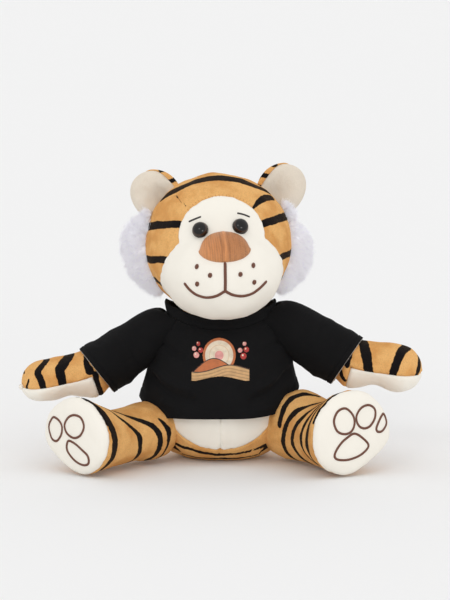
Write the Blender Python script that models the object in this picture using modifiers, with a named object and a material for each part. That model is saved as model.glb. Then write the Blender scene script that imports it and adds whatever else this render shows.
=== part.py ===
"""A seated plush tiger in a T-shirt, piece by piece, as a toy maker cuts, stuffs and sews it.

Metres, +Z up. The tiger sits on z = 0 and looks along -Y, so its own left side is +X.
Each limb is built in its own frame: the pivot of its seam is the origin, +Z runs out
along the limb and +Y is its upper side.
"""

import math

import bmesh
import bpy
from mathutils import Matrix, Vector

# Cloth and clearances
PLUSH = 0.0012
JERSEY = 0.0010
SEAM_GAP = 0.0003
TURN_GAP = 0.0008
FLOOR_CUT = 0.0005
OVERRUN = 0.030
MERGE = 0.00001

# Torso
TORSO_WIDTH = 0.112
TORSO_DEPTH = 0.092
TORSO_HEIGHT = 0.117
TORSO_LEAN = 0.004
TORSO_RISE_SHARES = (0.0, 0.0, 0.05, 0.13, 0.26, 0.42, 0.58, 0.72, 0.84, 0.93, 0.98, 1.0)
TORSO_WIDTH_SHARES = (0.0, 0.52, 0.74, 0.90, 1.0, 0.99, 0.92, 0.86, 0.82, 0.77, 0.65, 0.0)
TORSO_DEPTH_SHARES = (0.0, 0.50, 0.74, 0.90, 1.0, 1.0, 0.92, 0.82, 0.69, 0.50, 0.30, 0.0)
TORSO_SEGMENTS = 24
TORSO_FILL_SEGMENTS = 12

# Cream belly, two panels that meet at the centre seam
BELLY_WIDTH = 0.092
BELLY_HEIGHT = 0.088
BELLY_MIDDLE = 0.055
BELLY_SEAM_DEPTH = 0.006
BELLY_ARC_STEPS = 10

# Neck: a wad of fibre in the neck seam, which the head tilts and turns on
NECK_RADIUS = 0.022
NECK_SINK = 0.004
NECK_HEIGHT = TORSO_HEIGHT - NECK_SINK
NECK_FORWARD = 0.004

# Head, measured from the neck's pivot
HEAD_WIDTH = 0.115
HEAD_DEPTH = 0.104
HEAD_HEIGHT = 0.110
HEAD_RISE = 0.055
HEAD_FORWARD = 0.003
HEAD_ROLL = math.radians(2.5)
HEAD_TURN = math.radians(5)
HEAD_SEGMENTS = 24
HEAD_RINGS = 15
MUZZLE_WIDTH = 0.091
MUZZLE_DEPTH = 0.078
MUZZLE_HEIGHT = 0.071
MUZZLE_RISE = 0.0355
MUZZLE_FORWARD = 0.038
MUZZLE_BLEND = 12
HEAD_FILL_GAP = 0.0008
HEART_SHARE = 1 / 3

# Cream face: a forehead oval over the muzzle's oval
FOREHEAD_WIDTH = 0.067
FOREHEAD_HEIGHT = 0.060
FOREHEAD_RISE = 0.0655
MUZZLE_SEAM_EASE = 0.002
FACE_SEAM_DEPTH = 0.014
FACE_STEPS = 44

# Safety eyes and their washers
EYE_RADIUS = 0.006
EYE_DOME = 0.0045
EYE_RIM = 0.0008
EYE_SPREAD = 0.0157
EYE_RISE = 0.0715
EYE_UNEVEN = 0.0010
EYE_SEAT = 0.0011
SHANK_RADIUS = 0.002
SHANK_LENGTH = 0.010
SHANK_RIBS = 3
SHANK_RIB_DEPTH = 0.0003
WASHER_RADIUS = 0.007
WASHER_THICKNESS = 0.0015
WASHER_BEND = 0.0007
WASHER_SEAT = 0.0005
EYE_STEPS = 12
DOME_STEPS = 4

# Nose of satin stitch, padded
NOSE_WIDTH = 0.040
NOSE_HEIGHT = 0.027
NOSE_THICKNESS = 0.012
NOSE_RISE = 0.0575
NOSE_LIFT = 0.001

# Ears
EAR_WIDTH = 0.040
EAR_HEIGHT = 0.044
EAR_THICKNESS = 0.013
EAR_INSET = {"left": 0.005, "right": 0.011}
EAR_SPREAD = {side: HEAD_WIDTH / 2 - inset for side, inset in EAR_INSET.items()}
EAR_RISE = 0.093
EAR_BACK = 0.001
EAR_LEAN = math.radians(40)
EAR_TURN = math.radians(12)
EAR_DISH_RADIUS = 0.022
EAR_DISH_FORWARD = 0.0215

# Long-pile cheek ruffs
RUFF_WIDTH = 0.054
RUFF_DEPTH = 0.026
RUFF_HEIGHT = 0.059
RUFF_INSET = 0.0065
RUFF_SPREAD = HEAD_WIDTH / 2 - RUFF_INSET
RUFF_RISE = 0.0432
RUFF_BACK = 0.003

# Arms, from the shoulder's pivot
SHOULDER_INSET = 0.001
SHOULDER_SPREAD = TORSO_WIDTH / 2 - SHOULDER_INSET
SHOULDER_DROP = {"left": 0.0185, "right": 0.0225}
SHOULDER_RISE = {side: TORSO_HEIGHT - drop for side, drop in SHOULDER_DROP.items()}
SHOULDER_FORWARD = 0.006
ARM_DROOP = {"left": math.radians(27), "right": math.radians(31)}
ARM_FORWARD = math.radians(10)
ARM_BEND = math.radians(21)
ARM_RADIUS = 0.0165
ARM_LENGTH = 0.108
ARM_REACH_SHARES = (0.0, 0.20, 0.42, 0.60, 0.76, 0.88, 0.95, 0.985, 1.0)
ARM_WIDTH_SHARES = (1.0, 1.01, 1.02, 1.08, 1.16, 1.10, 0.83, 0.48, 0.0)
ARM_HEIGHT_SHARES = (1.0, 1.01, 1.00, 1.04, 1.10, 1.04, 0.78, 0.45, 0.0)
ARM_BEND_SHARES = (0.25, 0.70)
ARM_SEGMENTS = 16
PALM_CUFF_SHARE = 0.47
PALM_SEAM_DROP = 0.002

# Legs, from the hip's pivot
HIP_SPREAD = TORSO_WIDTH / 2
HIP_FORWARD = {"left": 0.022, "right": 0.026}
HIP_RISE = 0.026
LEG_SPLAY = {"left": math.radians(38), "right": math.radians(46)}
LEG_BEND = {"left": math.radians(10), "right": math.radians(3)}
LEG_RADIUS = 0.0245
LEG_LENGTH = 0.076
FOOT_WIDTH = 0.063
FOOT_HEIGHT = 0.059
LEG_REACH_SHARES = (0.0, 0.22, 0.46, 0.69, 0.89, 1.0)
LEG_FLARE_SHARES = (0.0, 0.02, 0.22, 0.58, 0.92, 1.0)
SOLE_DOME = 0.006
SOLE_ROUND_SHARES = (0.80, 0.45)
SOLE_SEAM_SHARE = 0.945
LEG_BEND_SHARES = (0.33, 1.0)
LEG_SEGMENTS = 20

# Tail, from its root at the back of the seat
TAIL_RADIUS = 0.008
TAIL_LENGTH = 0.088
TAIL_ROOT_OUT = 0.0005
TAIL_ROOT_BACK = TORSO_DEPTH / 2 + TAIL_ROOT_OUT
TAIL_ROOT_RISE = 0.013
TAIL_TURN = math.radians(25)
TAIL_BEND = math.radians(65)
TAIL_REACH_SHARES = (0.0, 0.14, 0.28, 0.44, 0.60, 0.75, 0.87, 0.95, 0.99, 1.0)
TAIL_WIDTH_SHARES = (1.0, 0.98, 0.98, 1.0, 1.0, 1.0, 0.97, 0.80, 0.45, 0.0)
TAIL_BEND_SHARES = (0.10, 0.95)
TAIL_DROP_SHARE = 0.40
TAIL_SEGMENTS = 10

# Rounded roots of limbs and tail, with the mouth that they are filled through
ROOT_STEPS = 4
BALL_SEGMENTS = 18
BALL_RINGS = 10
PAD_SEGMENTS = 16
PAD_RINGS = 10

# T-shirt
SHIRT_EASE = 0.0005
SHIRT_LOOSE = 0.0045
NECKLINE_SINK = 0.0030
NECKLINE_FRONT_DIP = 0.0105
NECKLINE_BACK_DIP = 0.0080
HEM_FRONT = 0.038
HEM_SIDE = 0.053
HEM_BACK = 0.040
HEM_FRONT_ANGLE = math.radians(18)
HEM_SIDE_ANGLE = math.radians(52)
HEM_BACK_ANGLE = math.radians(128)
FOLD_DEPTH = 0.0016
FOLD_COUNT = 7
SHIRT_SEGMENTS = 32
SHIRT_RINGS = 7
SHOULDER_FLARE = 0.0045
SHOULDER_FLARE_REACH = 0.024
SLEEVE_START_SHARE = 0.03
SLEEVE_CUFF_SHARE = 0.45
SLEEVE_ROOT_TILT = -math.radians(14)
SLEEVE_CUFF_TILT = math.radians(16)
SLEEVE_ROOT_EASE = 0.0008
SLEEVE_CUFF_EASE = 0.0029
SLEEVE_SEGMENTS = 18
SLEEVE_RINGS = 4
SLEEVE_FOLD_DEPTH = 0.0005
SLEEVE_FOLD_COUNT = 3
ARM_LOWERED = math.radians(10)
COLLAR_THICKNESS = 0.0022
COLLAR_WIDTH = 0.0055
COLLAR_SIDE_WIDTH = 0.0095
COLLAR_SEGMENTS = 24
COLLAR_SIDES = 6
SLOPE_SHARE = 0.01
PRINT_WIDTH = 0.046
PRINT_HEIGHT = 0.032
PRINT_DROP = 0.034
PRINT_MIDDLE = TORSO_HEIGHT - PRINT_DROP
PRINT_FILM = 0.0004
PRINT_STEPS = 6

SIDES = {"left": 1, "right": -1}
UP = Vector((0, 0, 1))

# The head's two ovals, each a middle and its radii, and a point inside both
HEAD_OVAL = (
    Vector((0, -HEAD_FORWARD, HEAD_RISE)),
    Vector((HEAD_WIDTH, HEAD_DEPTH, HEAD_HEIGHT)) / 2,
)
MUZZLE_OVAL = (
    Vector((0, -MUZZLE_FORWARD, MUZZLE_RISE)),
    Vector((MUZZLE_WIDTH, MUZZLE_DEPTH, MUZZLE_HEIGHT)) / 2,
)
HEAD_HEART = HEAD_OVAL[0].lerp(MUZZLE_OVAL[0], HEART_SHARE)
HIT_STEPS = 24
HIT_REACH = EYE_RADIUS / 2

# Base colour, roughness and metallic value of each material
FINISHES = {
    "orange_plush": ((0.66, 0.38, 0.15), 0.95, 0.0),
    "cream_plush": ((0.83, 0.79, 0.70), 0.95, 0.0),
    "long_pile": ((0.84, 0.83, 0.87), 1.0, 0.0),
    "fibre_fill": ((0.92, 0.92, 0.90), 1.0, 0.0),
    "black_jersey": ((0.012, 0.012, 0.013), 0.9, 0.0),
    "print_film": ((0.80, 0.72, 0.58), 0.6, 0.0),
    "eye_plastic": ((0.012, 0.008, 0.006), 0.12, 0.0),
    "washer_plastic": ((0.80, 0.80, 0.78), 0.4, 0.0),
    "nose_thread": ((0.42, 0.19, 0.08), 0.45, 0.0),
}


def clear_scene():
    """Remove what the new file holds."""
    for thing in list(bpy.data.objects):
        bpy.data.objects.remove(thing)


def collection(name):
    """Return a new collection under the scene's own."""
    made = bpy.data.collections.new(name)
    bpy.context.scene.collection.children.link(made)
    return made


def material(name):
    """Return the named finish as a Principled material, made once."""
    if name in bpy.data.materials:
        return bpy.data.materials[name]
    colour, roughness, metallic = FINISHES[name]
    made = bpy.data.materials.new(name)
    made.use_nodes = True
    shader = made.node_tree.nodes["Principled BSDF"]
    shader.inputs["Base Color"].default_value = (*colour, 1)
    shader.inputs["Roughness"].default_value = roughness
    shader.inputs["Metallic"].default_value = metallic
    made.diffuse_color = (*colour, 1)
    return made


def as_object(name, bm, where, parent=None):
    """Turn a bmesh into an object of the given collection, under an optional empty."""
    mesh = bpy.data.meshes.new(name)
    bm.to_mesh(mesh)
    bm.free()
    thing = bpy.data.objects.new(name, mesh)
    where.objects.link(thing)
    thing.parent = parent
    return thing


def piece(name, bm, finish, parent=None):
    """A sub-part of the toy, smooth shaded, with its own material."""
    made = as_object(name, bm, PARTS, parent)
    made.data.materials.append(material(finish))
    made.data.shade_smooth()
    return made


def cutter(name, bm, parent=None):
    """A shape that only cuts others."""
    made = as_object(name, bm, CUTTERS, parent)
    made.hide_render = True
    made.display_type = "WIRE"
    return made


def boolean(thing, other, operation):
    """Cut thing with other, or keep only what both hold."""
    step = thing.modifiers.new(f"{operation.lower()}_{other.name}", "BOOLEAN")
    step.operation = operation
    step.solver = "EXACT"
    step.object = other


def cut(thing, *others):
    for other in others:
        boolean(thing, other, "DIFFERENCE")


def keep(thing, other):
    boolean(thing, other, "INTERSECT")


def thicken(thing, thickness):
    """Give an outer surface its cloth, inwards."""
    step = thing.modifiers.new("cloth", "SOLIDIFY")
    step.thickness = thickness
    step.offset = -1
    step.use_even_offset = True


def grow(bm, distance):
    """Move a surface out by a distance, or in by a negative one."""
    bm.normal_update()
    for vert in bm.verts:
        vert.co += vert.normal * distance * vert.calc_shell_factor()
    return bm


def loft(rings):
    """Join rings of equal count into one surface; a ring shrunk to a point closes it."""
    bm = bmesh.new()
    rows = [[bm.verts.new(point) for point in ring] for ring in rings]
    count = len(rings[0])
    for low, high in zip(rows, rows[1:]):
        for i in range(count):
            j = (i + 1) % count
            bm.faces.new((low[i], low[j], high[j], high[i]))
    bmesh.ops.remove_doubles(bm, verts=bm.verts, dist=MERGE)
    bmesh.ops.dissolve_degenerate(bm, edges=bm.edges, dist=MERGE)
    return bm


def ball(radius, segments, rings):
    bm = bmesh.new()
    bmesh.ops.create_uvsphere(bm, u_segments=segments, v_segments=rings, radius=radius)
    return bm


def box(low, high):
    """A box between two corners."""
    bm = bmesh.new()
    bmesh.ops.create_cube(bm, size=1)
    low, high = Vector(low), Vector(high)
    bmesh.ops.scale(bm, vec=high - low, verts=bm.verts)
    bmesh.ops.translate(bm, vec=(low + high) / 2, verts=bm.verts)
    return bm


def prism(outline, near, far):
    """Extrude an outline of (x, z) points along Y, from near to far."""
    bm = bmesh.new()
    face = bm.faces.new([bm.verts.new((x, near, z)) for x, z in outline])
    made = bmesh.ops.extrude_face_region(bm, geom=[face])
    moved = [part for part in made["geom"] if isinstance(part, bmesh.types.BMVert)]
    bmesh.ops.translate(bm, vec=(0, far - near, 0), verts=moved)
    bmesh.ops.recalc_face_normals(bm, faces=bm.faces)
    return bm


def empty(name, place, turned=None, parent=None):
    """A joint's frame, at its pivot."""
    frame = bpy.data.objects.new(name, None)
    PARTS.objects.link(frame)
    frame.location = place
    if turned is not None:
        frame.rotation_euler = turned.to_euler()
    frame.parent = parent
    return frame


def aimed(direction):
    """A rotation whose Z looks along direction and whose Y stays as upright as it can."""
    out = Vector(direction).normalized()
    upper = (UP - out * UP.dot(out)).normalized()
    side = upper.cross(out)
    return Matrix((side, upper, out)).transposed()


def smooth(places, values, at):
    """Read a table of shares at a place between its rows, on a smooth curve."""
    last = len(places) - 1
    row = next((i for i in range(last) if at <= places[i + 1]), last - 1)
    span = places[row + 1] - places[row]
    t = (at - places[row]) / span if span else 0
    slopes = []
    for i in (row, row + 1):
        before, after = max(i - 1, 0), min(i + 1, last)
        run = places[after] - places[before]
        slopes.append((values[after] - values[before]) / run * span if run else 0)
    rise = values[row + 1] - values[row]
    return (
        values[row]
        + slopes[0] * t
        + (3 * rise - 2 * slopes[0] - slopes[1]) * t**2
        + (slopes[0] + slopes[1] - 2 * rise) * t**3
    )


def reach_of(origin, direction, middle, radii):
    """How far a ray from inside an ellipsoid runs to its surface, in 2 or 3 dimensions."""
    start = [(o - m) / r for o, m, r in zip(origin, middle, radii)]
    way = [d / r for d, r in zip(direction, radii)]
    a = sum(w * w for w in way)
    b = sum(s * w for s, w in zip(start, way))
    c = sum(s * s for s in start) - 1
    return (-b + math.sqrt(b * b - a * c)) / a


# Torso


def torso_spot(angle, rise, width, depth):
    """A point of the torso at an angle from the front, towards +X, from shares of its size."""
    return Vector(
        (
            TORSO_WIDTH / 2 * width * math.sin(angle),
            -TORSO_LEAN * rise - TORSO_DEPTH / 2 * depth * math.cos(angle),
            (TORSO_HEIGHT + FLOOR_CUT) * rise - FLOOR_CUT,
        )
    )


def torso_point(angle, rise):
    """The torso's surface at an angle and any share of its height."""
    width = smooth(TORSO_RISE_SHARES, TORSO_WIDTH_SHARES, rise)
    depth = smooth(TORSO_RISE_SHARES, TORSO_DEPTH_SHARES, rise)
    return torso_spot(angle, rise, width, depth)


def torso_surface(segments=TORSO_SEGMENTS):
    rings = []
    for row in zip(TORSO_RISE_SHARES, TORSO_WIDTH_SHARES, TORSO_DEPTH_SHARES):
        rings.append([torso_spot(math.tau * i / segments, *row) for i in range(segments)])
    return loft(rings)


def half_oval(side, grown=0.0):
    """One side of the belly's outline, closed by the centre seam."""
    seam = side * (SEAM_GAP / 2 - grown)
    points = [(seam, BELLY_MIDDLE - BELLY_HEIGHT / 2 - grown)]
    for i in range(1, BELLY_ARC_STEPS):
        turn = math.pi * i / BELLY_ARC_STEPS
        points.append(
            (
                side * (BELLY_WIDTH / 2 + grown) * math.sin(turn),
                BELLY_MIDDLE - (BELLY_HEIGHT / 2 + grown) * math.cos(turn),
            )
        )
    points.append((seam, BELLY_MIDDLE + BELLY_HEIGHT / 2 + grown))
    return points


def build_torso(seats, floor):
    """The plush cover, the two belly panels and the fibre inside them."""
    near, far = -TORSO_DEPTH, -BELLY_SEAM_DEPTH
    cover = piece("torso_cover", torso_surface(), "orange_plush")
    thicken(cover, PLUSH)
    cut(cover, *seats, floor)
    for side, sign in SIDES.items():
        panel = piece(f"belly_panel_{side}", torso_surface(), "cream_plush")
        thicken(panel, PLUSH)
        keep(panel, cutter(f"belly_cut_{side}", prism(half_oval(sign), near, far)))
        cut(panel, *seats)
        opening = prism(half_oval(sign, SEAM_GAP), near, far + SEAM_GAP)
        cut(cover, cutter(f"belly_opening_{side}", opening))
    inside = grow(torso_surface(TORSO_FILL_SEGMENTS), -PLUSH - SEAM_GAP)
    fill = piece("torso_stuffing", inside, "fibre_fill")
    cut(fill, *seats)


# Head


def head_reach(way):
    """How far the head's surface lies from its heart: its oval blended with the muzzle's."""
    reaches = [reach_of(HEAD_HEART, way, *oval) for oval in (HEAD_OVAL, MUZZLE_OVAL)]
    longest = max(reaches)
    total = sum((reach / longest) ** MUZZLE_BLEND for reach in reaches)
    return longest * total ** (1 / MUZZLE_BLEND)


def head_surface(grown=0.0):
    """The head's oval with the muzzle swelling out of its lower front."""
    bm = ball(1, HEAD_SEGMENTS, HEAD_RINGS)
    for vert in bm.verts:
        way = vert.co.normalized()
        vert.co = HEAD_HEART + way * head_reach(way)
    bmesh.ops.triangulate(bm, faces=bm.faces)
    return grow(bm, grown)


def head_hit(x, z):
    """Where a line along Y meets the head in front, and the way out of it there."""

    def depth(across, y, above):
        spot = Vector((across, y, above)) - HEAD_HEART
        return spot.length - head_reach(spot.normalized())

    inside, outside = HEAD_HEART.y, -HEAD_DEPTH
    for _ in range(HIT_STEPS):
        y = (inside + outside) / 2
        inside, outside = (y, outside) if depth(x, y, z) < 0 else (inside, y)
    out = Vector(
        (
            depth(x + HIT_REACH, y, z) - depth(x - HIT_REACH, y, z),
            depth(x, y + HIT_REACH, z) - depth(x, y - HIT_REACH, z),
            depth(x, y, z + HIT_REACH) - depth(x, y, z - HIT_REACH),
        )
    )
    return Vector((x, y, z)), out.normalized()


def face_outline(grown=0.0):
    """The cream area's outline: the forehead's oval joined to the muzzle's."""
    ovals = (
        ((0, FOREHEAD_RISE), (FOREHEAD_WIDTH / 2, FOREHEAD_HEIGHT / 2)),
        (
            (0, MUZZLE_RISE),
            (MUZZLE_WIDTH / 2 + MUZZLE_SEAM_EASE, MUZZLE_HEIGHT / 2 + MUZZLE_SEAM_EASE),
        ),
    )
    heart = (0, (FOREHEAD_RISE + MUZZLE_RISE) / 2)
    points = []
    for i in range(FACE_STEPS):
        angle = math.tau * i / FACE_STEPS
        way = (math.cos(angle), math.sin(angle))
        reach = max(reach_of(heart, way, *oval) for oval in ovals) + grown
        points.append((heart[0] + way[0] * reach, heart[1] + way[1] * reach))
    return points


def turned(name, profile, steps, finish, parent):
    """A turned piece: a profile of (radius, height) points, top to bottom, round Z."""
    bm = bmesh.new()
    verts = [bm.verts.new((radius, 0, height)) for radius, height in profile]
    for above, below in zip(verts, verts[1:]):
        bm.edges.new((above, below))
    made = piece(name, bm, finish, parent) if finish else cutter(name, bm, parent)
    step = made.modifiers.new("turn", "SCREW")
    step.steps = step.render_steps = steps
    step.use_merge_vertices = True
    step.merge_threshold = MERGE
    step.use_smooth_shade = True
    return made


def eye_profile():
    """A glossy dome, its rim, and the ribbed shank that the washer grips."""
    points = []
    for i in range(DOME_STEPS + 1):
        angle = math.pi / 2 * i / DOME_STEPS
        points.append((EYE_RADIUS * math.sin(angle), EYE_RIM + EYE_DOME * math.cos(angle)))
    points.append((EYE_RADIUS, 0))
    points.append((SHANK_RADIUS, 0))
    pitch = SHANK_LENGTH / (SHANK_RIBS + 1)
    for i in range(1, SHANK_RIBS + 1):
        points.append((SHANK_RADIUS - SHANK_RIB_DEPTH, -pitch * i))
        points.append((SHANK_RADIUS, -pitch * (i + 0.5)))
    points.append((0, -SHANK_LENGTH))
    return points


def washer_profile(top):
    """A sprung disc with a bent rim, closed into a ring."""
    bore = SHANK_RADIUS + SEAM_GAP
    return [
        (bore, top),
        (WASHER_RADIUS, top - WASHER_BEND),
        (WASHER_RADIUS, top - WASHER_BEND - WASHER_THICKNESS),
        (bore, top - WASHER_THICKNESS),
        (bore, top),
    ]


def build_eye(side, sign, head):
    """A safety eye and its washer, and the cuts that they pass through."""
    at, out = head_hit(sign * EYE_SPREAD, EYE_RISE + sign * EYE_UNEVEN)
    frame = empty(f"eye_frame_{side}", at + out * EYE_SEAT, aimed(out), head)
    turned(f"eye_{side}", eye_profile(), EYE_STEPS, "eye_plastic", frame)
    inside = -EYE_SEAT - PLUSH - WASHER_SEAT
    turned(f"eye_washer_{side}", washer_profile(inside), EYE_STEPS, "washer_plastic", frame)
    hole = SHANK_RADIUS + SEAM_GAP
    pocket = WASHER_RADIUS + SEAM_GAP
    floor = inside - WASHER_BEND - WASHER_THICKNESS - SEAM_GAP
    shank = -SHANK_LENGTH - SEAM_GAP
    bore = [(0, EYE_DOME), (hole, EYE_DOME), (hole, shank), (0, shank)]
    seat = [(0, EYE_DOME), (pocket, EYE_DOME), (pocket, floor), (hole, floor), *bore[2:]]
    return (
        turned(f"eye_bore_{side}", bore, EYE_STEPS, None, frame),
        turned(f"eye_pocket_{side}", seat, EYE_STEPS, None, frame),
    )


def build_nose(head, head_cut):
    """A padded oval of satin stitch on top of the muzzle."""
    bm = ball(1, PAD_SEGMENTS, PAD_RINGS)
    bmesh.ops.scale(bm, vec=(NOSE_WIDTH / 2, NOSE_HEIGHT / 2, NOSE_THICKNESS / 2), verts=bm.verts)
    at, out = head_hit(0, NOSE_RISE)
    nose = piece("nose", bm, "nose_thread", head)
    nose.location = at + out * NOSE_LIFT
    nose.rotation_euler = aimed(out).to_euler()
    cut(nose, head_cut)


def build_ear(side, sign, head, head_cut):
    """A dished ear: striped plush behind, cream lining in front."""
    for name, finish, front in (("ear_back", "orange_plush", -1), ("ear_lining", "cream_plush", 1)):
        bm = ball(1, PAD_SEGMENTS, PAD_RINGS)
        size = Vector((EAR_WIDTH, EAR_THICKNESS, EAR_HEIGHT)) / 2
        bmesh.ops.scale(bm, vec=size, verts=bm.verts)
        halved = bmesh.ops.bisect_plane(
            bm,
            geom=list(bm.verts) + list(bm.edges) + list(bm.faces),
            dist=MERGE,
            plane_co=(0, -front * SEAM_GAP / 2, 0),
            plane_no=(0, front, 0),
            clear_outer=True,
        )
        rim = [part for part in halved["geom_cut"] if isinstance(part, bmesh.types.BMEdge)]
        bmesh.ops.holes_fill(bm, edges=rim)
        bmesh.ops.recalc_face_normals(bm, faces=bm.faces)
        ear = piece(f"{name}_{side}", bm, finish, head)
        ear.location = (sign * EAR_SPREAD[side], EAR_BACK, EAR_RISE)
        ear.rotation_euler = (0, sign * EAR_LEAN, sign * EAR_TURN)
        cut(ear, head_cut)
        if front > 0:
            dish = cutter(f"ear_dish_{side}", ball(EAR_DISH_RADIUS, PAD_SEGMENTS, PAD_RINGS), ear)
            dish.location = (0, -EAR_DISH_FORWARD - EAR_THICKNESS / 4, EAR_HEIGHT / 8)
            cut(ear, dish)


def build_ruff(side, sign, head, head_cut):
    """A crescent of long pile sewn into the cheek's seam."""
    bm = ball(1, PAD_SEGMENTS, PAD_RINGS)
    bmesh.ops.scale(bm, vec=(RUFF_WIDTH / 2, RUFF_DEPTH / 2, RUFF_HEIGHT / 2), verts=bm.verts)
    ruff = piece(f"cheek_ruff_{side}", bm, "long_pile", head)
    ruff.location = (sign * RUFF_SPREAD, RUFF_BACK, RUFF_RISE)
    cut(ruff, head_cut)


def build_head(head):
    """The head's cover and face, its fibre, and all that is sewn or pressed onto it."""
    seat = cutter("neck_seat", ball(NECK_RADIUS + TURN_GAP, BALL_SEGMENTS, BALL_RINGS), head)
    head_cut = cutter("head_outside", head_surface(SEAM_GAP), head)
    eyes = [build_eye(side, sign, head) for side, sign in SIDES.items()]
    face_cut = cutter("face_cut", prism(face_outline(), -HEAD_DEPTH, -FACE_SEAM_DEPTH), head)
    opening = prism(face_outline(SEAM_GAP), -HEAD_DEPTH, -FACE_SEAM_DEPTH + SEAM_GAP)
    cover = piece("head_cover", head_surface(), "orange_plush", head)
    thicken(cover, PLUSH)
    cut(cover, seat, cutter("face_opening", opening, head))
    face = piece("face_panel", head_surface(), "cream_plush", head)
    thicken(face, PLUSH)
    cut(face, seat)
    keep(face, face_cut)
    cut(face, *(bore for bore, _ in eyes))
    fill = piece("head_stuffing", head_surface(-PLUSH - HEAD_FILL_GAP), "fibre_fill", head)
    cut(fill, seat, *(pocket for _, pocket in eyes))
    build_nose(head, head_cut)
    for side, sign in SIDES.items():
        build_ear(side, sign, head, head_cut)
        build_ruff(side, sign, head, head_cut)


# Limbs


def bent(reach, length, bend, shares, way):
    """The place and the turn of a limb's centreline that bends evenly between two shares."""
    begin, end = (share * length for share in shares)
    turn = bend * min(max((reach - begin) / (end - begin), 0), 1)
    along, aside = min(reach, begin), 0
    if bend and reach > begin:
        radius = (end - begin) / bend
        along += radius * math.sin(turn)
        aside += radius * (1 - math.cos(turn))
    elif reach > begin:
        along = min(reach, end)
    if reach > end:
        along += (reach - end) * math.cos(turn)
        aside += (reach - end) * math.sin(turn)
    axis = UP.cross(way)
    return Vector((0, 0, along)) + way * aside, Matrix.Rotation(turn, 3, axis)


def ring_at(middle, turn, half_width, half_height, segments):
    """An oval ring across a limb, counted from its side."""
    points = []
    for i in range(segments):
        angle = math.tau * i / segments
        across = Vector((half_width * math.cos(angle), half_height * math.sin(angle), 0))
        points.append(middle + turn @ across)
    return points


def root_rings(radius, segments):
    """The rounded root, from its pole to the ring before the pivot's."""
    rings = []
    for i in range(ROOT_STEPS):
        angle = math.pi / 2 * i / ROOT_STEPS
        middle = Vector((0, 0, -radius * math.cos(angle)))
        around = radius * math.sin(angle)
        rings.append(ring_at(middle, Matrix.Identity(3), around, around, segments))
    return rings


def cover_and_fill(name, cover_name, rings, fill_rings, frame):
    """A limb's cover, open at its root where it was filled, and the fibre in it."""
    cover = piece(cover_name, loft(rings[1:]), "orange_plush", frame)
    thicken(cover, PLUSH)
    fill = grow(loft(fill_rings), -PLUSH - SEAM_GAP)
    piece(f"{name}_stuffing", fill, "fibre_fill", frame)
    return cover


def arm_bent(share):
    """The arm's centreline, which bends up towards the hand, at a share of its length."""
    return bent(share * ARM_LENGTH, ARM_LENGTH, ARM_BEND, ARM_BEND_SHARES, Vector((0, 1, 0)))


def arm_rings(segments):
    rings = root_rings(ARM_RADIUS, segments)
    for reach, width, height in zip(ARM_REACH_SHARES, ARM_WIDTH_SHARES, ARM_HEIGHT_SHARES):
        rings.append(ring_at(*arm_bent(reach), ARM_RADIUS * width, ARM_RADIUS * height, segments))
    return rings


def build_arm(side, frame):
    """The arm's cover with a cream palm let into the hand's underside, and its fibre."""
    fill_rings = arm_rings(ARM_SEGMENTS // 2)
    cover = cover_and_fill(
        f"arm_{side}", f"arm_cover_{side}", arm_rings(ARM_SEGMENTS), fill_rings, frame
    )
    palm = piece(f"palm_panel_{side}", loft(arm_rings(ARM_SEGMENTS)[1:]), "cream_plush", frame)
    thicken(palm, PLUSH)
    begin, _ = arm_bent(PALM_CUFF_SHARE)
    _, tilt = arm_bent(1)
    for name, grown, target in (("palm_cut", 0, palm), ("palm_opening", SEAM_GAP, cover)):
        low = Vector((-OVERRUN, -OVERRUN, -grown))
        high = Vector((OVERRUN, -PALM_SEAM_DROP + grown, ARM_LENGTH))
        tool = cutter(f"{name}_{side}", box(low, high), frame)
        tool.location = begin
        tool.rotation_euler = tilt.to_euler()
        if target is palm:
            keep(palm, tool)
        else:
            cut(cover, tool)


def leg_bent(side, reach):
    """The leg's centreline, which bends in towards the other leg, at a distance from the hip."""
    way = Vector((-SIDES[side], 0, 0))
    return bent(reach, LEG_LENGTH, LEG_BEND[side], LEG_BEND_SHARES, way)


def leg_rings(side, segments):
    rings = root_rings(LEG_RADIUS, segments)
    for reach, flare in zip(LEG_REACH_SHARES, LEG_FLARE_SHARES):
        half_width = LEG_RADIUS + (FOOT_WIDTH / 2 - LEG_RADIUS) * flare
        half_height = LEG_RADIUS + (FOOT_HEIGHT / 2 - LEG_RADIUS) * flare
        spot = leg_bent(side, reach * LEG_LENGTH)
        rings.append(ring_at(*spot, half_width, half_height, segments))
    for share in (*SOLE_ROUND_SHARES, 0):
        spot = leg_bent(side, LEG_LENGTH + SOLE_DOME * math.sqrt(1 - share**2))
        rings.append(ring_at(*spot, FOOT_WIDTH / 2 * share, FOOT_HEIGHT / 2 * share, segments))
    return rings


def build_leg(side, frame, floor):
    """The leg's cover, the cream sole in its end, and its fibre, flat where they rest."""
    rings = leg_rings(side, LEG_SEGMENTS)
    fill_rings = leg_rings(side, LEG_SEGMENTS // 2)
    cover = cover_and_fill(f"leg_{side}", f"leg_cover_{side}", rings, fill_rings, frame)
    sole = piece(f"sole_panel_{side}", loft(rings[1:]), "cream_plush", frame)
    thicken(sole, PLUSH)
    begin, turn = leg_bent(side, SOLE_SEAM_SHARE * LEG_LENGTH)
    for name, grown, target in (("sole_cut", 0, sole), ("sole_opening", SEAM_GAP, cover)):
        low = Vector((-FOOT_WIDTH, -FOOT_HEIGHT, -grown))
        high = Vector((FOOT_WIDTH, FOOT_HEIGHT, LEG_LENGTH))
        tool = cutter(f"{name}_{side}", box(low, high), frame)
        tool.location = begin
        tool.rotation_euler = turn.to_euler()
        if target is sole:
            keep(sole, tool)
        else:
            cut(cover, tool)
    cut(cover, floor)
    cut(sole, floor)


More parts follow.
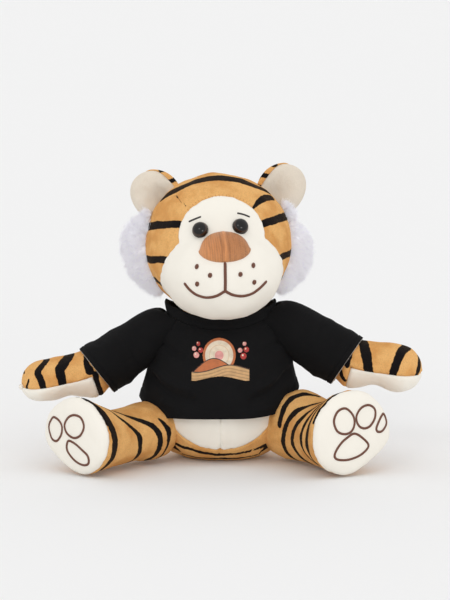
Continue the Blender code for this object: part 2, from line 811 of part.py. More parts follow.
def tail_rings(segments):
    rings = root_rings(TAIL_RADIUS, segments)
    drop = TAIL_ROOT_RISE - TAIL_RADIUS + FLOOR_CUT
    for reach, width in zip(TAIL_REACH_SHARES, TAIL_WIDTH_SHARES):
        middle, turn = bent(
            reach * TAIL_LENGTH, TAIL_LENGTH, TAIL_BEND, TAIL_BEND_SHARES, Vector((1, 0, 0))
        )
        fall = min(reach / TAIL_DROP_SHARE, 1)
        middle.y -= drop * fall * fall * (3 - 2 * fall)
        half = TAIL_RADIUS * width
        rings.append(ring_at(middle, turn, half, half, segments))
    return rings


def build_tail(frame, floor):
    fill_rings = tail_rings(TAIL_SEGMENTS // 2)
    cover = cover_and_fill("tail", "tail_cover", tail_rings(TAIL_SEGMENTS), fill_rings, frame)
    cut(cover, floor)


# T-shirt


def hem_height(angle):
    """The hem lies low in front and behind and rides up over the legs."""
    turn = abs((angle + math.pi) % math.tau - math.pi)
    if turn < HEM_SIDE_ANGLE:
        part = (turn - HEM_FRONT_ANGLE) / (HEM_SIDE_ANGLE - HEM_FRONT_ANGLE)
        low = HEM_FRONT
    else:
        part = (math.pi - turn) / (math.pi - HEM_BACK_ANGLE)
        low = HEM_BACK
    part = min(max(part, 0), 1)
    return low + (HEM_SIDE - low) * part * part * (3 - 2 * part)


def neckline_height(angle):
    """The neckline dips in front, under the chin, and a little behind."""
    front = math.cos(angle)
    dip = NECKLINE_FRONT_DIP if front > 0 else NECKLINE_BACK_DIP
    return TORSO_HEIGHT - NECKLINE_SINK - front * front * dip


def shirt_share(angle, height):
    """How far up the shirt a height lies, from its hem to its neckline."""
    low = hem_height(angle)
    return (height - low) / (neckline_height(angle) - low)


def shirt_point(angle, share, out):
    """The shirt over the torso, at a share of the way from hem to collar, moved out."""
    height = hem_height(angle) + (neckline_height(angle) - hem_height(angle)) * share
    rise = (height + FLOOR_CUT) / (TORSO_HEIGHT + FLOOR_CUT)
    at = torso_point(angle, rise)
    around = SLOPE_SHARE * math.tau
    along = torso_point(angle + around, rise) - torso_point(angle - around, rise)
    upward = torso_point(angle, rise + SLOPE_SHARE) - torso_point(angle, rise - SLOPE_SHARE)
    away = along.cross(upward).normalized()
    slack = SHIRT_LOOSE * (1 - share) ** 2 + SHIRT_LOOSE / 2 * math.sin(math.pi * share)
    fold = FOLD_DEPTH * (1 - share) * (1 - math.cos(FOLD_COUNT * angle)) / 2
    flare = 0
    for side, sign in SIDES.items():
        pivot = Vector((sign * SHOULDER_SPREAD, -SHOULDER_FORWARD, SHOULDER_RISE[side]))
        near = 1 - min((at - pivot).length / SHOULDER_FLARE_REACH, 1)
        flare += SHOULDER_FLARE * near * near * (3 - 2 * near)
    return at + away * (SHIRT_EASE + slack + fold + flare + out)


def shirt_surface(out):
    rings = []
    for row in range(SHIRT_RINGS + 1):
        share = row / SHIRT_RINGS
        angles = (math.tau * i / SHIRT_SEGMENTS for i in range(SHIRT_SEGMENTS))
        rings.append([shirt_point(angle, share, out) for angle in angles])
    return loft(rings)


def sleeve_rings(extra=0.0):
    """Rings of a sleeve that lies on the arm's top and hangs loose below it."""
    rings = []
    for row in range(SLEEVE_RINGS + 1):
        t = row / SLEEVE_RINGS
        reach = SLEEVE_START_SHARE + (SLEEVE_CUFF_SHARE - SLEEVE_START_SHARE) * t
        middle, turn = arm_bent(reach)
        ease = SLEEVE_ROOT_EASE + (SLEEVE_CUFF_EASE - SLEEVE_ROOT_EASE) * t
        half_width = ARM_RADIUS * smooth(ARM_REACH_SHARES, ARM_WIDTH_SHARES, reach)
        half_height = ARM_RADIUS * smooth(ARM_REACH_SHARES, ARM_HEIGHT_SHARES, reach)
        middle -= turn @ Vector((0, ease - SLEEVE_ROOT_EASE, 0))
        grown = ease + JERSEY + extra
        slant = math.tan(SLEEVE_ROOT_TILT + (SLEEVE_CUFF_TILT - SLEEVE_ROOT_TILT) * t)
        ring = []
        for i in range(SLEEVE_SEGMENTS):
            angle = math.tau * i / SLEEVE_SEGMENTS
            fold = SLEEVE_FOLD_DEPTH * t * (1 - math.cos(SLEEVE_FOLD_COUNT * angle)) / 2
            aside = (half_width + grown + fold) * math.cos(angle)
            above = (half_height + grown + fold) * math.sin(angle)
            ring.append(middle + turn @ Vector((aside, above, above * slant)))
        rings.append(ring)
    return rings


def sleeve_room(name, frame, lowered):
    """The space that a sleeve needs in the shirt's armhole, at rest or with the arm lowered."""
    rings = sleeve_rings(TURN_GAP + SLEEVE_FOLD_DEPTH)
    ends = [[sum(ring, Vector()) / len(ring)] * len(ring) for ring in (rings[0], rings[-1])]
    room = cutter(name, loft([ends[0], *rings, ends[1]]), frame)
    room.rotation_euler = (lowered, 0, 0)
    return room


def build_collar():
    """The ribbed neckband, a flattened ring that stands up round the neck, highest at its sides."""
    rings = []
    for i in range(COLLAR_SEGMENTS):
        angle = math.tau * i / COLLAR_SEGMENTS
        edge = shirt_point(angle, 1, COLLAR_THICKNESS / 2)
        below = shirt_point(angle, 1 - 1 / SHIRT_RINGS, COLLAR_THICKNESS / 2)
        side = math.sin(angle) ** 4
        width = COLLAR_WIDTH + (COLLAR_SIDE_WIDTH - COLLAR_WIDTH) * side
        rise = (edge - below).normalized().lerp(UP, side).normalized()
        around = SLOPE_SHARE * math.tau
        along = shirt_point(angle + around, 1, 0) - shirt_point(angle - around, 1, 0)
        away = along.cross(rise).normalized()
        middle = edge + rise * (width / 2 + SEAM_GAP)
        ring = []
        for k in range(COLLAR_SIDES):
            turn = -math.tau * k / COLLAR_SIDES
            ring.append(
                middle
                + rise * (width / 2 * math.cos(turn))
                + away * (COLLAR_THICKNESS / 2 * math.sin(turn))
            )
        rings.append(ring)
    bm = loft([*rings, rings[0]])
    bmesh.ops.recalc_face_normals(bm, faces=bm.faces)
    return piece("shirt_collar", bm, "black_jersey")


def build_print():
    """A thin transfer film on the chest, over the shirt's own curve."""
    bm = bmesh.new()
    rows = []
    for row in range(PRINT_STEPS + 1):
        height = PRINT_MIDDLE + PRINT_HEIGHT * (row / PRINT_STEPS - 1 / 2)
        line = []
        for i in range(PRINT_STEPS + 1):
            across = PRINT_WIDTH * (i / PRINT_STEPS - 1 / 2)
            rise = (height + FLOOR_CUT) / (TORSO_HEIGHT + FLOOR_CUT)
            angle = math.asin(across / (torso_point(math.pi / 2, rise).x + SHIRT_LOOSE))
            at = shirt_point(angle, shirt_share(angle, height), JERSEY + SEAM_GAP * 2 + PRINT_FILM)
            line.append(bm.verts.new(at))
        rows.append(line)
    for low, high in zip(rows, rows[1:]):
        for i in range(PRINT_STEPS):
            bm.faces.new((low[i], low[i + 1], high[i + 1], high[i]))
    film = piece("chest_print", bm, "print_film")
    thicken(film, PRINT_FILM)


def build_shirt(arms):
    """The shirt's body with its armholes, the sleeves, the neckband and the print."""
    body = piece("shirt_body", shirt_surface(JERSEY), "black_jersey")
    thicken(body, JERSEY)
    root_radius = (ARM_RADIUS + SLEEVE_ROOT_EASE + JERSEY) / math.cos(SLEEVE_ROOT_TILT)
    hole_radius = root_radius + TURN_GAP
    for side in SIDES:
        hole = ball(hole_radius, BALL_SEGMENTS, BALL_RINGS)
        cut(body, cutter(f"armhole_{side}", hole, arms[side]))
        cut(body, sleeve_room(f"armhole_rest_{side}", arms[side], 0))
        cut(body, sleeve_room(f"armhole_low_{side}", arms[side], ARM_LOWERED))
        sleeve = piece(f"sleeve_{side}", loft(sleeve_rings()), "black_jersey", arms[side])
        thicken(sleeve, JERSEY)
    build_collar()
    build_print()


def main():
    floor = cutter(
        "floor_cut",
        box(
            (-ARM_LENGTH * 2, -ARM_LENGTH * 2, -OVERRUN),
            (ARM_LENGTH * 2, ARM_LENGTH * 2, 0),
        ),
    )
    neck = empty("neck_frame", (0, -NECK_FORWARD, NECK_HEIGHT))
    tilt = Matrix.Rotation(HEAD_TURN, 3, "Z") @ Matrix.Rotation(-HEAD_ROLL, 3, "Y")
    head = empty("head_frame", (0, -NECK_FORWARD, NECK_HEIGHT), tilt)
    piece("neck_stuffing", ball(NECK_RADIUS, BALL_SEGMENTS, BALL_RINGS), "fibre_fill", neck)
    seats = [cutter("neck_well", ball(NECK_RADIUS + TURN_GAP, BALL_SEGMENTS, BALL_RINGS), neck)]
    arms = {}
    for side, sign in SIDES.items():
        droop = ARM_DROOP[side]
        level = math.cos(droop)
        out = (sign * level * math.cos(ARM_FORWARD), -level * math.sin(ARM_FORWARD), -math.sin(droop))
        pivot = (sign * SHOULDER_SPREAD, -SHOULDER_FORWARD, SHOULDER_RISE[side])
        arms[side] = empty(f"shoulder_frame_{side}", pivot, aimed(out))
        build_arm(side, arms[side])
        seats.append(
            cutter(
                f"shoulder_seat_{side}",
                ball(ARM_RADIUS + TURN_GAP, BALL_SEGMENTS, BALL_RINGS),
                arms[side],
            )
        )
        splay = LEG_SPLAY[side]
        pivot = (sign * HIP_SPREAD, -HIP_FORWARD[side], HIP_RISE)
        rise = FOOT_HEIGHT / 2 - FLOOR_CUT - HIP_RISE
        out = (
            sign * math.sin(splay) * LEG_LENGTH,
            -math.cos(splay) * LEG_LENGTH,
            rise,
        )
        hip = empty(f"hip_frame_{side}", pivot, aimed(out))
        build_leg(side, hip, floor)
        seats.append(
            cutter(
                f"hip_seat_{side}", ball(LEG_RADIUS + TURN_GAP, BALL_SEGMENTS, BALL_RINGS), hip
            )
        )
    out = (math.sin(TAIL_TURN), math.cos(TAIL_TURN), 0)
    tail = empty("tail_frame", (0, TAIL_ROOT_BACK, TAIL_ROOT_RISE), aimed(out))
    build_tail(tail, floor)
    seats.append(
        cutter("tail_seat", ball(TAIL_RADIUS + TURN_GAP, BALL_SEGMENTS, BALL_RINGS), tail)
    )
    build_torso(seats, floor)
    build_head(head)
    build_shirt(arms)


clear_scene()
PARTS = collection("plush_tiger")
CUTTERS = collection("cutters")
main()
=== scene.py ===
"""A seated plush tiger in a T-shirt, dressed over its frame of packed parts.

Metres, +Z up. The tiger looks along -Y, so its own left side is +X. Each limb is made
in its own frame, with its pivot at the origin, +Z along the limb and +Y on its upper side.
"""

import math

import bpy
import numpy as np
from bpy.props import FloatProperty, FloatVectorProperty, IntProperty, PointerProperty
from mathutils import Matrix, Vector
from mathutils.bvhtree import BVHTree


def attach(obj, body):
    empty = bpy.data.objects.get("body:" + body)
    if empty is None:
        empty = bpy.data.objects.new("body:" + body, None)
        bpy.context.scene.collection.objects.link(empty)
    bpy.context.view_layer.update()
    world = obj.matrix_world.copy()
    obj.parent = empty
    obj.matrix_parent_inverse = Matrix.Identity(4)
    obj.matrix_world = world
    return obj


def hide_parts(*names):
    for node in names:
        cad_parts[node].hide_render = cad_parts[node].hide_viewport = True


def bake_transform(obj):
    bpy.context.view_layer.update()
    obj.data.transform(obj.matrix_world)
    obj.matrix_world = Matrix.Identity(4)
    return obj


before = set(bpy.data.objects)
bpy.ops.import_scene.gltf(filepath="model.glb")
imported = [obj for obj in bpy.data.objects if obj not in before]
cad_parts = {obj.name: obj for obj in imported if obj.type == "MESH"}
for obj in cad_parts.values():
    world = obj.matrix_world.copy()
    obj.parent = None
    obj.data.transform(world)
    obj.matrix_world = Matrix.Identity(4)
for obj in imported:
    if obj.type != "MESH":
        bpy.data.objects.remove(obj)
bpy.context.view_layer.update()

STATE = {}

bl_info = {
    "name": "Plush Tiger",
    "version": (1, 0, 0),
    "blender": (4, 5, 0),
    "location": "3D View > Sidebar > Plush Tiger",
    "description": "Sews a seated plush tiger in a T-shirt over its jointed frame",
    "category": "Add Mesh",
}

MM = 0.001
TURN = math.tau
TINY = 1e-12
SAME_POINT = 1e-7
NO_STRIPE = -0.010
RAY_START = 0.10

# Cloth
BRUSHED_SIZE = 0.018
STRIPE_WOBBLE = 0.0012
STRIPE_NOISES = ((0.0022, 2.0), (0.007, 1.0))
STRIPE_SOFTNESS = 0.00022
STRAND_SIZE = 0.0004
TWIST_SIZE = 0.00018
TWIST_DEPTH = 0.00008
KNIT_SOFT_SIZE = 0.004
KNIT_WORN_SIZE = 0.020
KNIT_DEPTH = 0.00022
FILL_STRAND_SIZE = 0.0012
FILL_STRAND_DEPTH = 0.0008
FUR_CLUMP_SIZE = 0.0035
WASHER_MOTTLE_SIZE = 0.003
FILM_CRACK_SIZE = 0.0009
FILM_WEAR_SIZE = 0.004
FILM_DEPTH = 0.0001
PAPER_MOTTLE_SIZE = 0.4
PLUSH_CLOTH = 0.0012
JERSEY_CLOTH = 0.0010
SEAM_DEPTH = 0.0009
SEAM_SPREAD = 0.0011
PUCKER_DEPTH = 0.0003
PUCKER_SPREAD = 0.0040
PUCKER_PITCH = 0.0050
LUMP_HEIGHT = 0.0005
LUMP_SIZE = 0.030
FINE_LUMP_SIZE = 0.011
SWELL = 0.0009
CLOTH_FRAMES = 20
CLOTH_SETTINGS = {
    "quality": 6,
    "mass": 0.1,
    "tension_stiffness": 14,
    "compression_stiffness": 14,
    "bending_stiffness": 0.2,
    "use_pressure": True,
    "uniform_pressure_force": 4,
    "vertex_group_mass": "seam",
}
STRIPE_POINTS = 48
LIMB_STRIPE_POINTS = 60
SATIN_SIDES = 8
PLUSH_SLOTS = {"striped_plush": "orange_plush", "cream_plush": "cream_plush", "ear_plush": "cream_plush"}

# Torso
TORSO_WIDTH = 0.112
TORSO_DEPTH = 0.092
TORSO_HEIGHT = 0.117
TORSO_LEAN = 0.004
TORSO_RISE_SHARES = (0.0, 0.0, 0.05, 0.13, 0.26, 0.42, 0.58, 0.72, 0.84, 0.93, 0.98, 1.0)
TORSO_WIDTH_SHARES = (0.0, 0.52, 0.74, 0.90, 1.0, 0.99, 0.92, 0.86, 0.82, 0.77, 0.65, 0.0)
TORSO_DEPTH_SHARES = (0.0, 0.50, 0.74, 0.90, 1.0, 1.0, 0.92, 0.82, 0.69, 0.50, 0.30, 0.0)
TORSO_HEART = np.array((0.0, -0.002, 0.050))
BELLY_WIDTH = 0.092
BELLY_HEIGHT = 0.088
BELLY_MIDDLE = 0.055
BELLY_SEAM_WAVE = 0.0007
FLOOR_CUT = 0.0005
TORSO_LOWEST_SHARE = 0.0008
BODY_FILL = 0.8

# Head, from the neck's pivot
NECK_PIVOT = Vector((0.0, -0.004, 0.113))
NECK_RADIUS = 0.022
HEAD_ROLL = math.radians(2.5)
HEAD_TURN = math.radians(5)
HEAD_MIDDLE = np.array((0.0, -0.003, 0.055))
HEAD_RADII = np.array((0.115, 0.104, 0.110)) / 2
MUZZLE_MIDDLE = np.array((0.0, -0.038, 0.0355))
MUZZLE_RADII = np.array((0.091, 0.078, 0.071)) / 2
MUZZLE_BLEND = 12
HEAD_HEART = HEAD_MIDDLE + (MUZZLE_MIDDLE - HEAD_MIDDLE) / 3
FOREHEAD_WIDTH = 0.067
FOREHEAD_HEIGHT = 0.060
FOREHEAD_RISE = 0.0655
MUZZLE_SEAM_EASE = 0.002
CHIN_SEAM_BACK = 0.026
CHIN_SEAM_RISE = 0.018
HEAD_FILL = 0.85
NECK_SKIN = 0.0004
NECK_CLOTH = 0.0003
NECK_LUMP = 0.0006
NECK_LUMP_SIZE = 0.008
CENTRE_SEAM = ((0, 30, 97), (0, 40, 87), (0, 47, 60), (0, 42, 30), (0, 30, 12))
FOREHEAD_DART = ((-33, -20, 96.5), (-29.5, -30, 92.4), (-26, -36, 88.6))
FACE_STITCH_RISE = 0.0845
FACE_STITCH_HALF = 0.7
FACE_STITCH_WIDTH = 0.0005
WHISKER_DOT_HALF = (0.5, 1.7)

# Ears, ruffs, eyes and nose
EAR_WIDTH = 0.040
EAR_HEIGHT = 0.044
EAR_THICKNESS = 0.013
EAR_SPREAD = {"left": 0.0525, "right": 0.0465}
EAR_RISE = 0.093
EAR_BACK = 0.001
EAR_LEAN = math.radians(40)
EAR_TURN = math.radians(12)
EAR_HOLLOW = 0.0064
EAR_FILL = 0.3
EAR_HOLLOW_MIDDLE = (0.003, -0.004)
EAR_HOLLOW_SPREAD = (0.0110, 0.0125)
# Where the ear lining's painted shade is deepest, and how far it spreads
EAR_CUP_SHADE_MIDDLE = (0.004, -0.006)
EAR_CUP_SHADE_SPREAD = (0.0090, 0.0095)
EAR_LUMP = 0.0003
EAR_STRIPES = ((-0.010, -0.004, 0.0019), (0.000, 0.006, 0.0021), (0.010, 0.016, 0.0019))
RUFF_RADII = np.array((0.054, 0.026, 0.059)) / 2
RUFF_MIDDLE = np.array((0.051, 0.003, 0.0432))
RUFF_SHRINK = {"right": np.array((0.82, 0.86, 0.98)), "left": np.array((0.82, 0.86, 0.87))}
RUFF_SHIFT = {"right": np.array((-0.0034, 0, 0.0052)), "left": np.array((-0.0036, 0, -0.0020))}
RUFF_LEAN = 0.20
RUFF_TUFT_MIDDLE = np.array((0.050, -0.006, 0.0720))
RUFF_TUFT_RADII = np.array((0.0085, 0.0050, 0.0105))
RUFF_TUFT_EVERY = 8
RUFF_BASE_LUMP = 0.0008
EYE_RADIUS = 0.006
EYE_DOME = 0.0045
EYE_SPREAD = 0.0157
EYE_RISE = 0.0715
EYE_UNEVEN = 0.0005
EYE_SHIFT = {"left": 0.0024, "right": 0.0008}
EYE_SEAT = 0.0011
EYE_RIM = 0.0008
EYE_SHANK_RADIUS = 0.002
EYE_SHANK_LENGTH = 0.010
NOSE_WIDTH = 0.040
NOSE_RISE = 0.0575
NOSE_TOP = 0.0118
NOSE_BOTTOM = 0.0092
NOSE_LIFT = 0.0058
NOSE_THREAD_LIFT = 0.0003
NOSE_RIDGE_LIFT = 0.0009
NOSE_CLOTH = 0.0006
NOSE_THREAD_COLUMNS = 6.3
NOSE_BUNDLE_COLUMNS = 13.5

# Arms, from the shoulder's pivot
SHOULDER = {"left": (0.055, -0.006, 0.0985), "right": (-0.055, -0.006, 0.0945)}
ARM_DROOP = {"left": math.radians(27), "right": math.radians(31)}
ARM_FORWARD = math.radians(10)
ARM_BEND = math.radians(21)
ARM_RADIUS = 0.0165
ARM_LENGTH = 0.108
ARM_REACH_SHARES = (0.0, 0.20, 0.42, 0.60, 0.76, 0.88, 0.95, 0.985, 1.0)
ARM_WIDTH_SHARES = (1.0, 1.01, 1.02, 1.08, 1.16, 1.10, 0.83, 0.48, 0.0)
ARM_HEIGHT_SHARES = (1.0, 1.01, 1.00, 1.04, 1.10, 1.04, 0.78, 0.45, 0.0)
ARM_BEND_SHARES = (0.25, 0.70)
PALM_START_SHARE = 0.50
PALM_SEAM_ANGLE = math.radians(-6)
ARM_LIFT_SHARES = (0.0, 0.42, 0.60, 0.78, 0.92, 1.0)
ARM_LIFT = {"left": (0.0, 0.0006, 0.0026, 0.0030, 0.0012, 0.0), "right": (0.0, 0.0, 0.0, 0.0, 0.0, 0.0)}
ARM_DROP_SHARES = (0.0, 0.40, 0.50, 0.60, 0.74, 0.88, 1.0)
WRIST_DENT = 0.0046
ARM_DROP = {
    "left": (0.0, 0.0, 0.0042, 0.0034, 0.0008, 0.0, 0.0),
    "right": (0.0, 0.0, 0.0042, 0.0030, -0.0006, -0.0034, -0.0012),
}

# Legs, from the hip's pivot
HIP = {"left": (0.056, -0.022, 0.026), "right": (-0.056, -0.026, 0.026)}
LEG_SPLAY = {"left": math.radians(38), "right": math.radians(46)}
LEG_BEND = {"left": math.radians(10), "right": math.radians(3)}
LEG_RISE = 0.003
LEG_RADIUS = 0.0245
LEG_LENGTH = 0.076
FOOT_WIDTH = 0.0675
FOOT_HEIGHT = 0.059
LEG_REACH_SHARES = (0.0, 0.22, 0.46, 0.69, 0.89, 1.0)
LEG_FLARE_SHARES = (0.0, 0.02, 0.22, 0.58, 0.92, 1.0)
LEG_BEND_SHARES = (0.33, 1.0)
SOLE_DOME = 0.006
SOLE_SEAM_SHARE = 0.945
SOLE_ROUND_POWER = 0.62
LEG_LIFT_SHARES = (0.0, 0.18, 0.45, 0.66, 0.88, 1.0)
LEG_LIFT = {
    "left": (0.0030, 0.0062, 0.0, 0.0005, 0.0062, 0.0070),
    "right": (-0.0035, -0.0045, -0.0085, -0.0052, 0.0, 0.0005),
}
LEG_HEEL_LIFT = 0.0120
PAD_START = 0.02

# Tail
TAIL_ROOT = (0.0, 0.0465, 0.013)
TAIL_RADIUS = 0.008
TAIL_LENGTH = 0.088
TAIL_TURN = math.radians(25)
TAIL_BEND = math.radians(65)
TAIL_REACH_SHARES = (0.0, 0.14, 0.28, 0.44, 0.60, 0.75, 0.87, 0.95, 0.99, 1.0)
TAIL_WIDTH_SHARES = (1.0, 0.98, 0.98, 1.0, 1.0, 1.0, 0.97, 0.80, 0.45, 0.0)
TAIL_BEND_SHARES = (0.10, 0.95)
TAIL_DROP_SHARE = 0.40
TAIL_STRIPE_HALF = 0.0028
TAIL_LUMP = 0.0003

# T-shirt
SHIRT_EASE = 0.0005
SHIRT_LOOSE = 0.0045
NECKLINE_SINK = 0.0030
NECKLINE_FRONT_DIP = 0.0105
NECKLINE_BACK_DIP = 0.0080
HEM_FRONT = 0.0383
HEM_SIDE = 0.0512
HEM_BACK = 0.040
HEM_FRONT_ANGLE = math.radians(40)
HEM_SIDE_ANGLE = math.radians(88)
HEM_BACK_ANGLE = math.radians(128)
HEM_TILT = 0.0045
HEM_RAISED = 0.00035
HEM_GROOVE = 0.0004
FOLD_DEPTH = 0.0016
FOLD_COUNT = 7
FOLD_GAIN = 1.4
SHIRT_LUMP = 0.0006
HEM_LUMP = 0.0002
SHOULDER_FLARE = 0.0045
SHOULDER_FLARE_REACH = 0.024
SLEEVE_CUFF_SHARE = 0.45
ARMHOLE_START = 0.010
ARMHOLE_TOP = 0.1125
ARMHOLE_REACH = 0.034
ARMHOLE_SOFTNESS = 0.002
SHOULDER_ARCH = {"left": 0.0205, "right": 0.0125}
SHOULDER_REACH_SHARE = {"left": -0.08, "right": 0.16}
SLEEVE_LIFT_SHARES = (0.0, 0.35, 0.65, 0.85, 1.0)
SLEEVE_LIFT = {
    "left": (0.0046, 0.0047, 0.0052, 0.0030, 0.0008),
    "right": (0.0010, 0.0022, 0.0028, 0.0024, 0.0),
}
SLEEVE_CUFF_TILT = math.radians(16)
SLEEVE_ROOT_EASE = 0.0008
SLEEVE_CUFF_EASE = 0.0029
SLEEVE_LEAST_EASE = 0.0013
SLEEVE_DRAG_ANGLE = {"left": 2.5, "right": 0.6}
CUFF_SHARE = 0.895
CUFF_RAISED = 0.0003
CUFF_GROOVE = 0.0004
CUFF_EDGE_RADIUS = 0.00045
CUFF_EDGE_INSET = 0.0002
CUFF_EDGE_BACK = 0.0001
CUFF_EDGE_LUMP = 0.00015
SLEEVE_TWIST = 0.0008
SLEEVE_RIPPLE = 0.0006
SLEEVE_UPPER_DRAG = 0.0012
SLEEVE_LOWER_DRAG = 0.0010
SHIRT_KNIT_ROUND = 0.055
SHIRT_KNIT_ALONG = 0.075
SLEEVE_KNIT_ROUND = 0.020
SLEEVE_KNIT_ALONG = 0.060
COLLAR_THICKNESS = 0.0022
COLLAR_WIDTH = 0.0086
COLLAR_SIDE_WIDTH = 0.0095
COLLAR_OVERLAP = 0.0003
PRINT_WIDTH = 0.046
PRINT_HEIGHT = 0.032
PRINT_MIDDLE = 0.083
FILM_LIFT = 0.00022
FILM_THICKNESS = 0.00015

SIDES = {"left": 1, "right": -1}

# Stripes of head and body: points near the surface and half widths, in millimetres
HEAD_STRIPES = (
    (
        ((-41, -8, 92), (-33, -13, 98), (-24, -16, 103), (-1, -18, 107.4), (25, -18, 101), (41, -8, 93)),
        (4.6, 5.2, 5.0, 4.4),
    ),
    (
        (
            (-26, -46, 76), (-32.6, -41, 75.6), (-46.9, -26, 74.2),
            (-55, -4, 71), (-46, 26, 70), (-20, 48, 72),
        ),
        (2.6, 3.4, 2.4),
    ),
    (
        ((26, -46, 72), (31.4, -43, 72.5), (44.8, -29, 74.3), (54, -4, 74), (46, 26, 73), (20, 48, 76)),
        (2.6, 3.4, 2.4),
    ),
    (((-40, -44, 49), (-45, -38, 48.9), (-54.5, -16, 46.9), (-57, 8, 47), (-42, 36, 48)), (2.4, 3.0, 1.8)),
    (((38, -48, 45), (43.7, -43, 45.5), (54, -15, 46), (57, 8, 46), (42, 36, 49)), (2.4, 3.0, 1.8)),
    (((-42, -30, 27), (-46, -22, 27.8), (-50, -11, 30.2), (-50, 14, 28), (-34, 36, 27)), (2.2, 2.6, 1.4)),
    (((42, -30, 26), (46, -22, 27), (50, -11, 29), (50, 14, 28), (34, 36, 27)), (1.8, 2.4, 1.4)),
    (
        ((24, -40, 83), (27, -37, 86), (32, -31, 89.4), (38, -23, 90.8), (44, -14, 89.5)),
        (0.5, 1.2, 2.7, 3.1, 2.4),
    ),
    (((-33, -20, 96.5), (-29.5, -30, 92.4), (-26, -36, 88.6)), (0.5, 0.5)),
    (((-38, 12, 90), (-12, 32, 95), (12, 32, 96), (38, 12, 90)), (2.4, 3.4, 2.4)),
    (((-22, 46, 56), (0, 50, 57), (22, 46, 56)), (1.6, 3.2, 1.6)),
    (((-18, 43, 36), (0, 47, 36), (18, 43, 36)), (1.6, 3.0, 1.6)),
)
TORSO_STRIPES = (
    (
        ((-40, -27, 15), (-23, -35, 10.4), (-10, -35.5, 7.6), (2, -35, 6.6), (14, -34, 7.6), (38, -28, 14)),
        (1.6, 1.9, 1.6),
    ),
    (((-34, -24, 1.5), (0, -30, 1.0), (34, -24, 1.5)), (1.2, 2.0, 1.2)),
    (((-41, -24, 14), (-39, -27, 8), (-36, -28, 3)), (1.6, 2.2, 1.6)),
    (((41, -24, 14), (39, -27, 8), (36, -28, 3)), (1.6, 2.2, 1.6)),
    (((-52, 12, 34), (-30, 38, 32), (-8, 46, 34)), (2.2, 3.2, 1.6)),
    (((52, 12, 38), (30, 38, 36), (6, 46, 34)), (2.2, 3.2, 1.6)),
    (((-48, 14, 18), (-26, 38, 16), (0, 44, 18), (26, 38, 17), (48, 14, 19)), (2.2, 3.0, 2.2)),
    (((-44, 12, 60), (0, 42, 62), (44, 12, 60)), (2.2, 3.2, 2.2)),
)

# Folds of the shirt: points in millimetres, half width and depth
SHIRT_FOLDS = (
    (((-52, -30, 66), (-38, -30, 56), (-22, -30, 52)), 3.2, -1.7),
    (((-54, -30, 74), (-40, -30, 64), (-24, -30, 60)), 3.0, 1.4),
    (((50, -30, 70), (38, -30, 58), (24, -30, 52)), 3.2, -1.7),
    (((54, -30, 78), (42, -30, 66), (28, -30, 60)), 3.0, 1.4),
    (((-46, -30, 92), (-36, -30, 86), (-28, -30, 84)), 3.0, -1.3),
    (((46, -30, 94), (36, -30, 88), (28, -30, 86)), 3.0, -1.3),
    (((-44, -30, 48), (-30, -30, 44), (-12, -30, 43)), 2.6, 1.2),
    (((46, -30, 50), (30, -30, 44), (10, -30, 43)), 2.6, 1.2),
    (((-46, 30, 72), (-20, 30, 60), (0, 30, 57)), 4.0, -1.0),
    (((46, 30, 72), (20, 30, 60), (0, 30, 57)), 4.0, -1.0),
)

# Stripes of the limbs: shares of the length with degrees round it, and half widths in millimetres
ARM_STRIPES = {
    "right": (
        (
            ((0.84, 150), (0.80, 118), (0.79, 84), (0.83, 62), (0.88, 42), (0.87, 20), (0.86, -10)),
            (1.6, 2.6, 3.0, 2.6),
        ),
        (
            ((0.72, 176), (0.64, 140), (0.61, 104), (0.62, 78), (0.68, 52), (0.72, 32), (0.72, -10)),
            (2.6, 4.2, 4.2, 3.4),
        ),
        (((0.46, 120), (0.47, 80), (0.50, 54), (0.51, 30), (0.505, 8)), (0.8, 1.4, 3.6)),
        (((0.475, 0), (0.49, -20), (0.49, -50), (0.49, -90)), (2.0, 2.6, 2.0)),
        (((0.955, 34), (0.975, 10), (0.985, -8)), (0.8, 1.6, 1.2)),
        (((0.95, 138), (0.96, 112), (0.97, 84)), (0.9, 1.8, 0.9)),
        (((0.36, 170), (0.34, 90), (0.36, 10)), (1.8, 3.0, 1.8)),
    ),
    "left": (
        (((0.56, -4), (0.51, 56), (0.52, 98), (0.57, 136), (0.61, 164), (0.65, 200)), (2.2, 3.6, 3.8, 3.2)),
        (((0.76, -4), (0.82, 52), (0.86, 96), (0.84, 122), (0.82, 154), (0.80, 200)), (2.2, 4.2, 3.8, 2.8)),
        (((0.955, 80), (0.965, 110), (0.975, 140), (0.975, 184)), (1.4, 2.4, 2.2)),
        (((0.44, 96), (0.45, 130), (0.47, 160), (0.475, 184)), (0.8, 1.6, 2.2)),
        (((0.44, 200), (0.46, 214), (0.49, 222)), (1.6, 2.0, 1.6)),
        (((0.68, 20), (0.70, 50), (0.71, 78)), (1.0, 2.2, 1.0)),
        (((0.34, 10), (0.32, 90), (0.34, 170)), (1.8, 3.0, 1.8)),
    ),
}
